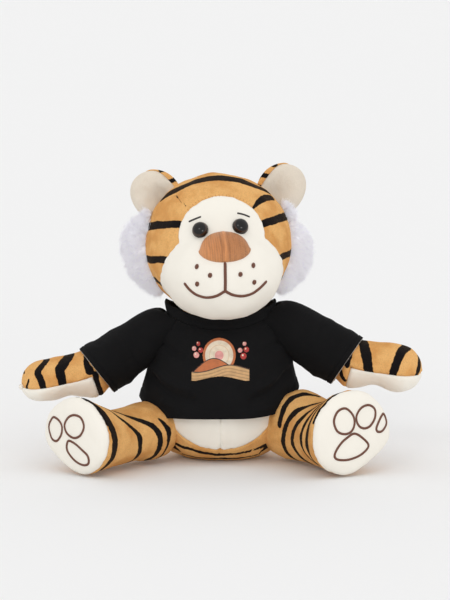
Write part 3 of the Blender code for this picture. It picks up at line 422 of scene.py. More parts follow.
LEG_STRIPES = {
    "right": (
        (
            ((0.92, 130), (0.935, 84), (0.92, 58), (0.895, 28), (0.855, 0), (0.83, -28), (0.86, -70)),
            (2.0, 3.4, 4.0, 2.6),
        ),
        (
            (
                (0.76, 96), (0.74, 70), (0.68, 48), (0.57, 30),
                (0.45, 8), (0.40, -16), (0.37, -48), (0.40, -80),
            ),
            (1.0, 2.0, 2.6, 2.0),
        ),
        (
            ((0.60, 98), (0.52, 68), (0.36, 42), (0.22, 18), (0.13, -6), (0.10, -36), (0.12, -74)),
            (1.2, 2.6, 2.8, 2.2),
        ),
        (((0.12, 34), (0.04, 12), (-0.01, -10), (-0.03, -36), (-0.01, -70)), (1.0, 2.6, 3.2, 2.6)),
        (((0.66, 118), (0.62, 150), (0.56, 186), (0.60, 226), (0.70, 262)), (1.6, 3.0, 1.8)),
        (((0.38, 112), (0.34, 150), (0.30, 190), (0.36, 230)), (1.6, 3.0, 1.8)),
        (((0.90, 150), (0.84, 180), (0.86, 214)), (1.2, 2.4, 1.2)),
    ),
    "left": (
        (((0.36, 78), (0.26, 100), (0.20, 124), (0.18, 152), (0.17, 170)), (2.0, 3.0, 2.4)),
        (
            ((0.66, 84), (0.50, 112), (0.36, 142), (0.28, 168), (0.22, 196), (0.19, 224), (0.22, 250)),
            (1.4, 2.6, 2.6, 1.6),
        ),
        (
            ((0.80, 84), (0.66, 116), (0.54, 144), (0.44, 172), (0.38, 204), (0.42, 236), (0.54, 262)),
            (1.4, 2.4, 2.6, 2.0),
        ),
        (((0.86, 90), (0.74, 122), (0.68, 150), (0.63, 178), (0.63, 204), (0.72, 236)), (1.2, 2.2, 2.2, 1.2)),
        (((0.90, 92), (0.84, 124), (0.81, 154), (0.79, 184), (0.78, 208), (0.84, 240)), (1.2, 2.4, 3.0, 2.0)),
        (((0.935, 96), (0.93, 130), (0.925, 158)), (1.2, 1.8, 1.2)),
        (((0.60, 62), (0.62, 30), (0.56, 0), (0.60, -40), (0.70, -70)), (1.6, 3.0, 1.8)),
        (((0.34, 60), (0.32, 24), (0.28, -6), (0.36, -44)), (1.6, 3.0, 1.8)),
        (((0.86, 60), (0.82, 30), (0.84, 0), (0.86, -30)), (1.2, 2.4, 1.2)),
    ),
}
TAIL_STRIPE_SHARES = (0.16, 0.32, 0.48, 0.64, 0.80)
TAIL_TIP_SHARE = 0.93

# Embroidery, in millimetres: the face's points from its front, the pads' on each sole
BROWS = (((-24.6, 77.2), (-20.0, 79.2), (-15.2, 80.9)), ((12.2, 82.2), (16.8, 80.9), (21.8, 78.6)))
MOUTH = (
    ((-0.9, 48.5), (-1.4, 38.0), (-1.9, 27.2)),
    ((-31.6, 33.6), (-27.6, 28.3), (-22.6, 24.5), (-15.8, 22.5), (-8.7, 23.6), (-2.0, 27.2)),
    ((-2.0, 27.2), (4.0, 23.7), (11.7, 22.2), (18.7, 23.6), (25.0, 27.4), (30.4, 31.9)),
)
DOTS = ((-21.9, 45.9), (-12.7, 39.5), (-22.3, 33.1), (20.4, 44.7), (10.1, 39.0), (20.5, 32.2))
PADS = {
    "right": (
        (
            (-5.6, 9.4), (-1.8, 15.4), (4.2, 17.8), (10.8, 16.2), (14.4, 10.0), (11.6, 3.4), (4.6, 0.6),
            (-2.6, 3.2),
        ),
        (
            (-20.5, 12.8), (-14.5, 12.6), (-9.3, 9.0), (-8.4, 4.6), (-10.2, -0.6), (-14.4, -4.2),
            (-20.8, -2.6), (-24.5, 5.0),
        ),
        (
            (-1.6, -2.6), (-2.4, -9.8), (4.6, -16.3), (14.6, -18.8), (19.8, -16.6), (19.2, -11.4),
            (14.0, -7.6), (5.6, -3.6),
        ),
    ),
    "left": (
        (
            (-8.3, 24.0), (-15.0, 21.7), (-18.4, 15.1), (-16.2, 7.9), (-10.4, 4.9), (-4.2, 6.2),
            (-1.2, 11.4), (-2.2, 18.2),
        ),
        (
            (12.6, 24.6), (5.4, 22.9), (1.0, 16.8), (2.4, 10.6), (7.2, 7.6), (13.0, 9.0), (17.4, 14.6),
            (18.0, 21.0),
        ),
        ((26.5, 16.5), (23.6, 15.0), (20.4, 11.0), (18.2, 6.2), (19.8, 3.8), (24.4, 4.4), (28.4, 9.6)),
        (
            (-1.2, 4.4), (6.6, -0.4), (10.6, -6.2), (4.2, -11.8), (-6.6, -14.8), (-15.6, -14.0),
            (-18.6, -10.6), (-15.2, -4.2), (-8.6, 1.4),
        ),
    ),
}

# Print, in millimetres from its middle: across, above and radius
PRINT_SUN = (-1.0, 3.0, 12.6)
PRINT_BERRIES = (
    (-18.5, 3.0, 2.2), (-15.2, 6.6, 1.9), (-20.2, 7.6, 1.7), (17.6, 2.2, 2.3), (15.0, 6.4, 1.8),
    (19.8, 6.8, 2.0), (18.4, 11.0, 1.5), (-17.0, 11.2, 1.5),
)

# Stage
CAMERA_LENS = 153.8
CAMERA_SHIFT = (0.0075, 0.0378)
CAMERA_AIM = Vector((0, 0, 0.105))
FLOOR_REACH = 400
FLOOR_DROP = 0.0002


# Shapes


def unit(vectors):
    """The vectors' directions, each one long."""
    return vectors / np.maximum(np.linalg.norm(vectors, axis=-1, keepdims=True), TINY)


def eased(t):
    """Rise smoothly from 0 to 1."""
    t = np.clip(t, 0, 1)
    return t * t * (3 - 2 * t)


def hump(at, middle, spread):
    """A smooth hump that is 1 at its middle."""
    return np.exp(-(((at - middle) / spread) ** 2))


def ball(rise, columns):
    """Directions round a ball. rise is each row's angle from its top."""
    angle = np.linspace(0, TURN, columns, endpoint=False)[None]
    return stacked(np.sin(rise) * np.cos(angle), np.sin(rise) * np.sin(angle), np.cos(rise))


def stacked(*parts):
    """Points from their coordinates, whatever shapes these have."""
    return np.stack(np.broadcast_arrays(*parts), axis=-1)


def read_table(places, values, at):
    """Read a table of shares at many places, on the frame's own smooth curve."""
    places, values, at = np.array(places), np.array(values), np.asarray(at, float)
    last = len(places) - 1
    row = np.clip(np.searchsorted(places[1:], at), 0, last - 1)
    span = places[row + 1] - places[row]
    t = (at - places[row]) / np.where(span > 0, span, 1)
    before, after = np.maximum(np.arange(last + 1) - 1, 0), np.minimum(np.arange(last + 1) + 1, last)
    run = places[after] - places[before]
    slope = (values[after] - values[before]) / np.where(run > 0, run, 1)
    s0, s1 = slope[row] * span, slope[row + 1] * span
    rise = values[row + 1] - values[row]
    return values[row] + s0 * t + (3 * rise - 2 * s0 - s1) * t**2 + (s0 + s1 - 2 * rise) * t**3


def through(points, count, closed=False):
    """A smooth curve of count points through a few."""
    points = np.array(points, float)
    total = len(points)
    at = np.linspace(0, total if closed else total - 1, count, endpoint=not closed)
    row = np.minimum(at.astype(int), total - 1 if closed else total - 2)
    t = (at - row)[:, None]

    def pick(i):
        return points[i % total] if closed else points[np.clip(i, 0, total - 1)]

    a, b, c, d = (pick(row + k) for k in (-1, 0, 1, 2))
    return b + t * (c - a) / 2 + t**2 * (a - 2.5 * b + 2 * c - d / 2) + t**3 * (1.5 * (b - c) + (d - a) / 2)


def lumps(points, size, seed):
    """Soft unevenness between -1 and 1, with features of about the given size."""
    draw = np.random.default_rng(seed)
    total = np.zeros(points.shape[:-1])
    for _ in range(7):
        wave = unit(draw.normal(size=3)) * (TURN / size) * draw.uniform(0.6, 1.5)
        total += np.sin(points @ wave + draw.uniform(0, TURN))
    return total / 3.2


def distance_to(points, samples):
    """How far each point lies from the nearest of the samples."""
    flat = points.reshape(-1, 3)
    nearest = np.full(len(flat), 1.0)
    for begin in range(0, len(samples), 64):
        part = samples[begin : begin + 64]
        gaps = np.linalg.norm(flat[:, None] - part[None], axis=2)
        nearest = np.minimum(nearest, gaps.min(axis=1))
    return nearest.reshape(points.shape[:-1])


def stripe_field(points, strokes):
    """Metres inside the nearest stripe's edge, negative outside."""
    flat = points.reshape(-1, 3)
    field = np.full(len(flat), NO_STRIPE)
    for samples, halves in strokes:
        gaps = halves[None] - np.linalg.norm(flat[:, None] - samples[None], axis=2)
        field = np.maximum(field, gaps.max(axis=1))
    return field.reshape(points.shape[:-1])


def taper(widths, count):
    """Half widths along a stripe, thin at both ends."""
    t = np.linspace(0, 1, count)
    full = np.interp(t, np.linspace(0, 1, len(widths)), widths)
    return full * np.clip(np.minimum(t, 1 - t) * 12 + 0.45, 0, 1) * MM


def strokes_on(stripes, spot, count=STRIPE_POINTS):
    """Stripes laid on a surface by spot, each as its line and half widths."""
    return [(spot(through(points, count)), taper(widths, count)) for points, widths in stripes]


def capped(grid):
    """A grid of rings, closed at both ends by the rings' middles."""
    low, high = (np.repeat(grid[i].mean(axis=0)[None, None], grid.shape[1], axis=1) for i in (0, -1))
    return np.vstack((low, grid, high))


def pinched(grid):
    """Which of a grid's end rows are one point."""
    return [edge for edge in (0, -1) if np.ptp(grid[edge], axis=0).max() < SAME_POINT]


def grid_normals(grid, wrap=True, flip=False):
    """Outward directions of a grid of rows of points, or of one whose rows run the other way."""
    if wrap:
        across = np.roll(grid, -1, axis=1) - np.roll(grid, 1, axis=1)
    else:
        across = np.gradient(grid, axis=1)
    out = np.cross(across, np.gradient(grid, axis=0))
    for edge in pinched(grid):
        out[edge] = out[(1, -2)[edge]].mean(axis=0)
    return unit(-out if flip else out)


def ring_quads(index):
    """Corners of the faces between rows of numbered points, each row a ring."""
    right = np.roll(index, -1, axis=1)
    return np.stack((index[:-1], right[:-1], right[1:], index[1:]), axis=-1)


def mesh_from_grid(name, grid, keep=None, fields=None, wrap=True, flip=False):
    """An object from a grid of rows of points, or from the faces of it that keep marks."""
    rows, columns = grid.shape[:2]
    index = np.arange(rows * columns).reshape(rows, columns)
    for edge in pinched(grid):
        index[edge] = index[edge, 0]
    quads = ring_quads(index)
    if not wrap:
        quads = quads[:, :-1]
        keep = None if keep is None else keep[:, : quads.shape[1]]
    quads = quads[keep] if keep is not None else quads.reshape(-1, 4)
    used = np.unique(quads)
    place = np.full(rows * columns, -1)
    place[used] = np.arange(len(used))
    faces = []
    for quad in place[quads].tolist():
        corners = list(dict.fromkeys(quad))
        if len(corners) > 2:
            faces.append(corners[::-1] if flip else corners)
    picked = {key: values.reshape(rows * columns, -1)[used] for key, values in (fields or {}).items()}
    return mesh_object(name, grid.reshape(-1, 3)[used], faces, picked)


def mesh_closed_ring(name, grid, fields):
    """A tube whose last ring joins its first."""
    index = np.arange(grid[..., 0].size).reshape(grid.shape[:2])
    faces = ring_quads(np.vstack((index, index[:1]))).reshape(-1, 4)
    picked = {key: values.reshape(index.size, -1) for key, values in fields.items()}
    return mesh_object(name, grid.reshape(-1, 3), faces.tolist(), picked)


def grid_tree(grid):
    """A grid of rings, for rays."""
    index = np.arange(grid[..., 0].size).reshape(grid.shape[:2])
    return BVHTree.FromPolygons(grid.reshape(-1, 3).tolist(), ring_quads(index).reshape(-1, 4).tolist())


def mesh_tree(thing):
    """An object's mesh without its modifiers, for rays."""
    mesh = thing.data
    corners = [tuple(face.vertices) for face in mesh.polygons]
    return BVHTree.FromPolygons([tuple(vert.co) for vert in mesh.vertices], corners)


def mesh_object(name, points, faces, fields=None):
    """An object from points, faces and what each point carries."""
    mesh = bpy.data.meshes.new(name)
    mesh.from_pydata(points.tolist(), [], faces)
    for key, values in (fields or {}).items():
        vector = values.shape[-1] == 3
        made = mesh.attributes.new(key, "FLOAT_VECTOR" if vector else "FLOAT", "POINT")
        made.data.foreach_set("vector" if vector else "value", values.astype(np.float32).ravel())
    mesh.shade_smooth()
    thing = bpy.data.objects.new(name, mesh)
    bpy.context.scene.collection.objects.link(thing)
    return thing


def as_array(matrix):
    """A matrix as rows of numbers."""
    return np.array([list(row) for row in matrix])


def placed(grid, turn, at):
    """Take a grid from a local frame to the world."""
    return grid @ as_array(turn).T + np.array(at)


def thicken(thing, thickness):
    """Give a surface its cloth, inwards."""
    step = thing.modifiers.new("cloth", "SOLIDIFY")
    step.thickness = thickness
    step.offset = -1
    step.use_even_offset = False
    return thing


def settle(thing):
    """Apply the modifiers, so that the mesh is final."""
    graph = bpy.context.evaluated_depsgraph_get()
    mesh = bpy.data.meshes.new_from_object(thing.evaluated_get(graph), depsgraph=graph)
    old = thing.data
    thing.modifiers.clear()
    thing.data = mesh
    bpy.data.meshes.remove(old)
    return thing


def dressed(thing, finish, slot, body, *nodes):
    """Give a piece its finish, its body and the solids that it stands for."""
    thing.data.materials.clear()
    thing.data.materials.append(finish)
    if body:
        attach(thing, body)
    if nodes:
        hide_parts(*nodes)
    return thing


def sewn(name, grid, finish, body, nodes, fill, keep=None, fields=None, flip=False, cloth=PLUSH_CLOTH):
    """A padded piece of plush, and the solids that it stands for."""
    piece = thicken(mesh_from_grid(name, grid, keep, fields, flip=flip), cloth)
    dressed(piece, finish_of(finish), PLUSH_SLOTS[finish], body, *nodes)
    return piece


def aimed(direction):
    """A rotation whose Z looks along direction and whose Y stays as upright as it can."""
    out = Vector(direction).normalized()
    upper = (Vector((0, 0, 1)) - out * out.z).normalized()
    return Matrix((upper.cross(out), upper, out)).transposed()


def stuffed(grid, seams, seed, lump=LUMP_HEIGHT, flip=False):
    """Sink the seams of a stuffed skin, pucker the cloth beside them and add its fill's lumps."""
    push = lump * lumps(grid, LUMP_SIZE, seed) + lump * 0.35 * lumps(grid, FINE_LUMP_SIZE, seed + 1)
    for samples in seams:
        gap = distance_to(grid, samples)
        push -= SEAM_DEPTH * hump(gap, 0, SEAM_SPREAD)
        push += PUCKER_DEPTH * lumps(grid, PUCKER_PITCH, seed + 2) * hump(gap, 0, PUCKER_SPREAD)
    return grid + grid_normals(grid, flip=flip) * push[..., None]


def thinned(total, held, step=3):
    """Every few lines of a grid, and the held ones, with none of the others close to those."""
    held = np.array(held, int)
    picked = [line for line in range(0, total, step) if not len(held) or np.abs(held - line).min() > 4]
    return np.unique(np.concatenate((picked, held)).astype(int))


def spread_out(values, at, count):
    """Fill in the rows of an array between those that lie at some places."""
    flat = values.reshape(len(values), -1)
    full = np.stack([np.interp(np.arange(count), at, column) for column in flat.T], axis=-1)
    return full.reshape(count, *values.shape[1:])


def press_out(skin, held):
    """Run Blender's cloth on a skin with the stuffing's pressure, and give where its points end."""
    group = skin.vertex_groups.new(name=CLOTH_SETTINGS["vertex_group_mass"])
    group.add(held, 1.0, "REPLACE")
    cloth = skin.modifiers.new("stuffing", "CLOTH")
    for key, value in CLOTH_SETTINGS.items():
        setattr(cloth.settings, key, value)
    cloth.settings.effector_weights.gravity = 0
    cloth.point_cache.frame_start, cloth.point_cache.frame_end = 1, CLOTH_FRAMES
    scene = bpy.context.scene
    for moment in range(1, CLOTH_FRAMES + 1):
        scene.frame_set(moment)
    settle(skin)
    final = np.array([tuple(vert.co) for vert in skin.data.vertices])
    bpy.data.meshes.remove(skin.data)
    scene.frame_set(1)
    return final


def inflated(grid, held_rows, held_columns=(), still=None, flip=False):
    """Let the stuffing press a skin out between its seams: Blender's cloth, run on a coarser copy."""
    total_rows, total_columns = grid.shape[:2]
    rows, columns = thinned(total_rows, held_rows), thinned(total_columns, held_columns)
    slack = grid - grid_normals(grid, flip=flip) * SWELL * 0.6
    held = np.zeros(grid.shape[:2], bool)
    held[list(held_rows)] = True
    for column in held_columns:
        held[: held_rows[0], column] = True
    if still is not None:
        held |= still
    slack[held] = grid[held]
    coarse = slack[np.ix_(rows, columns)]
    spot = np.arange(len(rows) * len(columns)).reshape(len(rows), len(columns), 1)
    skin = mesh_from_grid("skin", coarse, fields={"spot": spot}, flip=flip)
    spots = np.array([item.value for item in skin.data.attributes["spot"].data]).astype(int)
    final = press_out(skin, np.flatnonzero(held[np.ix_(rows, columns)].ravel()[spots]).tolist())
    start = grid[np.ix_(rows, columns)].reshape(-1, 3)
    move = np.zeros_like(start)
    move[spots] = final - start[spots]
    size = np.linalg.norm(move, axis=1, keepdims=True)
    move = (move * np.minimum(1, SWELL / np.maximum(size, TINY))).reshape(coarse.shape)
    for edge in pinched(coarse):
        move[edge] = move[edge, 0]
    move = np.concatenate((move, move[:, :1]), axis=1)
    loop = np.concatenate((columns, [total_columns + columns[0]]))
    wide = spread_out(move.swapaxes(0, 1), loop, total_columns)
    full = spread_out(wide.swapaxes(0, 1), rows, total_rows)
    for _ in range(10):
        around = np.roll(full, 1, axis=1) + np.roll(full, -1, axis=1)
        before, after = np.vstack((full[:1], full[:-1])), np.vstack((full[1:], full[-1:]))
        full = (2 * full + around + before + after) / 6
    for edge in pinched(grid):
        full[edge] = full[edge].mean(axis=0)
    return grid + full


def curve_frames(reach, length, bend, shares):
    """A limb's centreline that bends evenly between two shares, and its turn, at many places."""
    begin, end = (share * length for share in shares)
    turn = bend * np.clip((reach - begin) / (end - begin), 0, 1)
    radius = (end - begin) / bend
    beyond = np.maximum(reach - end, 0)
    along = np.minimum(reach, begin) + radius * np.sin(turn) + beyond * np.cos(turn)
    aside = radius * (1 - np.cos(turn)) + beyond * np.sin(turn)
    return along, aside, turn


def tube_point(centre, way, half_width, half_height, angle, slant=0.0):
    """Points round a bent limb. way is the unit direction, across Z, in which it bends."""
    along, aside, turn = centre
    across = half_width * np.cos(angle)
    above = half_height * np.sin(angle)
    flat = across * way[0] + above * way[1]
    side = across * way[1] - above * way[0]
    lift = above * slant
    bent_flat = flat * np.cos(turn) + lift * np.sin(turn) + aside
    deep = along - flat * np.sin(turn) + lift * np.cos(turn)
    return stacked(bent_flat * way[0] + side * way[1], bent_flat * way[1] - side * way[0], deep)


# Finishes


def maths(operation, swapped=False):
    """A method that adds a Math node for one operation."""

    def method(self, *others):
        values = (*others, self) if swapped else (self, *others)
        return self.finish.node("ShaderNodeMath", {"operation": operation}, dict(enumerate(values)))

    return method


class Flow:
    """A shader value. Arithmetic on it adds Math nodes."""

    __add__, __radd__ = maths("ADD"), maths("ADD", True)
    __sub__, __rsub__ = maths("SUBTRACT"), maths("SUBTRACT", True)
    __mul__, __rmul__ = maths("MULTIPLY"), maths("MULTIPLY", True)
    __truediv__, __rtruediv__ = maths("DIVIDE"), maths("DIVIDE", True)
    __gt__, __lt__ = maths("GREATER_THAN"), maths("LESS_THAN")
    sine, cosine, root = maths("SINE"), maths("COSINE"), maths("SQRT")

    def __init__(self, finish, socket):
        self.finish = finish
        self.socket = socket

    def step(self, low, high):
        """Rise smoothly from 0 at low to 1 at high."""
        values = dict(enumerate((self, low, high, 0.0, 1.0)))
        return self.finish.node("ShaderNodeMapRange", {"interpolation_type": "SMOOTHSTEP"}, values)


class Finish:
    """A material under construction."""

    def __init__(self, name, roughness, **constants):
        self.material = bpy.data.materials.new(name)
        self.material.use_nodes = True
        self.tree = self.material.node_tree
        self.shader = self.tree.nodes["Principled BSDF"]
        sockets = {socket.name.lower().replace(" ", "_"): socket for socket in self.shader.inputs}
        for key, value in {"roughness": roughness, **constants}.items():
            sockets[key].default_value = value

    def node(self, kind, settings=None, values=None, output=0):
        """Add a node with its settings, then its values or links, and return one of its outputs."""
        made = self.tree.nodes.new(kind)
        for key, value in (settings or {}).items():
            setattr(made, key, value)
        for key, value in (values or {}).items():
            if isinstance(value, Flow):
                self.tree.links.new(value.socket, made.inputs[key])
            else:
                made.inputs[key].default_value = value
        return Flow(self, made.outputs[output])

    def field(self, name, output="Fac"):
        """A value that the mesh carries."""
        return self.node("ShaderNodeAttribute", {"attribute_name": name}, output=output)

    def parts(self, vector):
        """The three numbers of a vector."""
        outputs = self.node("ShaderNodeSeparateXYZ", values={0: vector}).socket.node.outputs
        return [Flow(self, outputs[i]) for i in range(3)]

    def noise(self, size, detail=2.0, stretch=None):
        """Noise around a half on the piece at rest, with features of a size in metres."""
        spot = self.node("ShaderNodeTexCoord", output="Object")
        if stretch:
            spot = self.node("ShaderNodeVectorMath", {"operation": "MULTIPLY"}, {0: spot, 1: stretch})
        return self.node("ShaderNodeTexNoise", values={"Vector": spot, "Scale": 1 / size, "Detail": detail})

    def mix(self, factor, low, high):
        """One colour at 0, the other at 1."""
        values = {0: factor, 6: low, 7: high}
        for key in (6, 7):
            if not isinstance(values[key], Flow):
                values[key] = (*tuple(values[key])[:3], 1.0)
        return self.node("ShaderNodeMix", {"data_type": "RGBA"}, values, output=2)

    def feed(self, name, flow):
        """Link a value to one of the shader's sockets."""
        self.tree.links.new(flow.socket, self.shader.inputs[name])

    def colour(self, flow):
        """Link the base colour."""
        self.feed("Base Color", flow)

    def bump(self, height, distance):
        """Raise the surface by a height of 0 to 1 times a distance in metres."""
        self.feed("Normal", self.node("ShaderNodeBump", values={"Height": height, "Distance": distance}))


def darker(colour, share):
    return tuple(channel * share for channel in colour)


def plush_finish(name, settings, striped, shaded_cup):
    """Short pile plush, brushed unevenly, with stripes or a crushed cup where the mesh has them."""
    base = settings.orange if striped else settings.cream
    deep, gap_shade = (settings.deep, 0.62) if striped else (darker(base, 0.88), 0.80)
    sheen = {"sheen_weight": settings.sheen, "sheen_roughness": 0.45, "sheen_tint": (*base, 1.0)}
    finish = Finish(name, 1.0, specular_ior_level=0.15, **sheen)
    fine = finish.noise(settings.fibre)
    tufts = finish.noise(settings.fibre * 5, 3.0, stretch=(1.0, 1.0, 0.6))
    finish.bump(fine * 0.55 + tufts * 0.45, settings.pile)
    brushed = finish.noise(BRUSHED_SIZE, 3.0).step(0.34, 0.60)
    ground = finish.mix(brushed * 0.65 + tufts * 0.45, deep, base)
    ground = finish.mix(fine.step(0.30, 0.55) * 0.6 + 0.4, darker(base, gap_shade), ground)
    if striped:
        wobbles = [(finish.noise(*noise) - 0.5) * STRIPE_WOBBLE for noise in STRIPE_NOISES]
        mask = (finish.field("stripe") + (wobbles[0] + wobbles[1])).step(-STRIPE_SOFTNESS, STRIPE_SOFTNESS)
        ground = finish.mix(mask, ground, settings.stripe)
    if shaded_cup:
        # The lining is a little lighter and cooler overall; towards the cup's middle it darkens with painted
        # shade.
        worn = tuple(channel * share for channel, share in zip(base, (1.04, 1.04, 1.07)))
        ground = finish.mix(finish.field("cup") * 0.42, finish.mix(0.45, ground, worn), darker(base, 0.48))
    finish.colour(ground)


def thread_finish(name, colour, roughness=0.5, valley=0.55):
    """Embroidery thread: a soft lustre, lighter on its crowns."""
    finish = Finish(name, roughness, sheen_weight=0.1)
    shade = finish.mix(finish.field("thread_tone_and_shade"), darker(colour, valley), colour)
    strand = finish.noise(STRAND_SIZE, 1.0)
    finish.colour(finish.mix(strand.step(0.25, 0.6), darker(colour, 0.8), shade))
    finish.bump(finish.noise(TWIST_SIZE, 1.0), TWIST_DEPTH)


def jersey_finish(name, settings):
    """Black knitted cotton: rows of small loops, a little lint and soft washed wear."""
    sheen = {"sheen_weight": settings.sheen, "sheen_roughness": 0.5, "sheen_tint": (0.5, 0.5, 0.54, 1.0)}
    finish = Finish(name, 0.95, specular_ior_level=0.15, **sheen)
    x, _, z = finish.parts(finish.field("knit", "Vector"))
    loops = ((x * (TURN / settings.knit)).sine() * (z * (TURN / settings.knit / 1.3)).sine()) * 0.5 + 0.5
    soft = finish.noise(KNIT_SOFT_SIZE, 3.0)
    worn = finish.noise(KNIT_WORN_SIZE, 3.0).step(0.35, 0.75)
    shade = finish.mix(worn, darker(settings.colour, 0.8), settings.colour)
    # Lighter on the loops' tops: painted highlight on the knit
    finish.colour(finish.mix(loops * 0.5, shade, darker(settings.colour, 1.5)))
    finish.bump(loops * 0.5 + soft * 0.5, KNIT_DEPTH)


def fibre_finish(name):
    """Loose white stuffing."""
    finish = Finish(name, 1.0)
    strands = finish.noise(FILL_STRAND_SIZE, 4.0, stretch=(1.0, 0.3, 1.0))
    finish.colour(finish.mix(strands, (0.72, 0.72, 0.70), (0.90, 0.90, 0.88)))
    finish.bump(strands, FILL_STRAND_DEPTH)


# Settings


def colour_property(name, default, words):
    """A setting that is a colour."""
    kind = {"subtype": "COLOR", "size": 3, "min": 0.0, "max": 1.0}
    return FloatVectorProperty(name=name, default=default, description=words, **kind)


def length_property(name, default, words):
    """A setting that is a length in metres."""
    return FloatProperty(name=name, default=default, description=words, unit="LENGTH", min=0.0, precision=5)


class TigerPlushSettings(bpy.types.PropertyGroup):
    orange: colour_property("Orange", (0.860, 0.490, 0.180), "Ground colour of the striped plush")
    deep: colour_property("Deep orange", (0.640, 0.280, 0.075), "Striped plush brushed the other way")
    stripe: colour_property("Stripe", (0.006, 0.005, 0.006), "Colour of the printed stripes")
    cream: colour_property("Cream", (0.780, 0.694, 0.575), "Face, belly, palms and soles")
    fibre: length_property("Fibre", 0.0006, "Size of the tufts that the pile's ends make")
    pile: length_property("Pile", 0.0010, "How deep the pile's relief is")
    sheen: FloatProperty(name="Sheen", default=0.08, min=0.0, max=1.0, description="Light on the pile")


class TigerFaceSettings(bpy.types.PropertyGroup):
    thread: colour_property("Thread", (0.165, 0.052, 0.024), "Mouth, whisker dots and pads")
    brow: colour_property("Brow thread", (0.020, 0.014, 0.012), "Eyebrows")
    nose: colour_property("Nose thread", (0.710, 0.290, 0.098), "Satin stitch of the nose")
    iris: colour_property("Eye rim", (0.040, 0.018, 0.010), "Translucent brown rim of the eyes")
    mouth_width: length_property("Mouth width", 0.0024, "Width of the mouth's stitching")
    brow_width: length_property("Brow width", 0.0015, "Width of the brows' stitching")
    dot_width: length_property("Dot width", 0.0034, "Width of a whisker dot")
    pad_width: length_property("Pad width", 0.0019, "Width of the stitching round the pads")
    stitch: length_property("Stitch", 0.0005, "Distance between stitches")


class TigerFurSettings(bpy.types.PropertyGroup):
    colour: colour_property("Fur", (0.960, 0.950, 0.990), "Long pile of the cheek ruffs")
    strands: IntProperty(name="Strands", default=6800, min=100, description="Strands in each ruff")
    length: length_property("Length", 0.0075, "Length of a strand")
    radius: length_property("Radius", 0.00026, "Radius of a strand at its root")


class TigerShirtSettings(bpy.types.PropertyGroup):
    colour: colour_property("Jersey", (0.0055, 0.0055, 0.0060), "Knitted cotton")
    lining: colour_property("Cut edge", (0.55, 0.52, 0.47), "Overlocked edge inside the cuffs")
    knit: length_property("Knit", 0.0007, "Width of a stitch of the knit")
    rib: length_property("Rib", 0.0019, "Distance between the neckband's ribs")
    sheen: FloatProperty(name="Lint", default=0.01, min=0.0, max=1.0, description="Lint on the jersey")


class TigerPrintSettings(bpy.types.PropertyGroup):
    cream: colour_property("Cream", (0.800, 0.680, 0.520), "The sun, and light on the berries")
    rust: colour_property("Rust", (0.520, 0.150, 0.045), "The sun's rim and the far hill")
    tan: colour_property("Tan", (0.640, 0.380, 0.170), "The sun's rays and the near hill")
    red: colour_property("Red", (0.450, 0.030, 0.025), "Every second berry")
    pink: colour_property("Pink", (0.760, 0.330, 0.300), "The sun's middle and the other berries")
    dark: colour_property("Dark", (0.030, 0.018, 0.014), "Outlines and wear")


class TigerStageSettings(bpy.types.PropertyGroup):
    floor: colour_property("Floor", (0.885, 0.885, 0.885), "Plain pale floor")
    sky: FloatProperty(name="Sky", default=0.961, min=0.0, description="Strength of the even light")
    key: FloatProperty(name="Key", default=0.20, min=0.0, description="Strength of the main lamp")
    fill: FloatProperty(name="Fill", default=0.45, min=0.0, description="Strength of the second lamp")
    distance: length_property("Distance", 2.0, "From the camera to what it looks at")
    elevation: FloatProperty(
        name="Elevation", unit="ROTATION", default=math.radians(8), description="Camera's height as an angle"
    )


SETTINGS = {
    "tiger_plush": TigerPlushSettings,
    "tiger_face": TigerFaceSettings,
    "tiger_fur": TigerFurSettings,
    "tiger_shirt": TigerShirtSettings,
    "tiger_print": TigerPrintSettings,
    "tiger_stage": TigerStageSettings,
}


def settings(name):
    """One of the tiger's groups of settings."""
    return getattr(bpy.context.scene, f"tiger_{name}")


def finish_of(name):
    """A finish that several pieces share, made once."""
    if name not in bpy.data.materials:
        plush, face, shirt = (settings(group) for group in ("plush", "face", "shirt"))
        threads = {
            "mouth_thread": (face.thread,),
            "seam_thread": (plush.deep,),
            "brow_thread": (face.brow,),
            "nose_stitch": (face.nose, 0.45, 0.38),
            "cut_edge": (shirt.lining, 0.8),
        }
        if name in threads:
            thread_finish(name, *threads[name])
        elif name == "black_knit":
            jersey_finish(name, shirt)
        elif name == "fibre":
            fibre_finish(name)
        else:
            plush_finish(name, plush, name == "striped_plush", name == "ear_plush")
    return bpy.data.materials[name]


# Embroidery


def laid_on(tree, points, way):
    """Drop points along a direction onto a surface: where they land, and the way out there."""
    spots, outs = [], []
    way = Vector(way)
    for point in points:
        point = Vector(point)
        hit, normal, _, _ = tree.ray_cast(point - way * RAY_START, way)
        if hit is None:
            hit, normal, _, _ = tree.find_nearest(point)
        spots.append(hit)
        outs.append(-normal if normal.dot(way) > 0 else normal)
    return np.array(spots), np.array(outs)


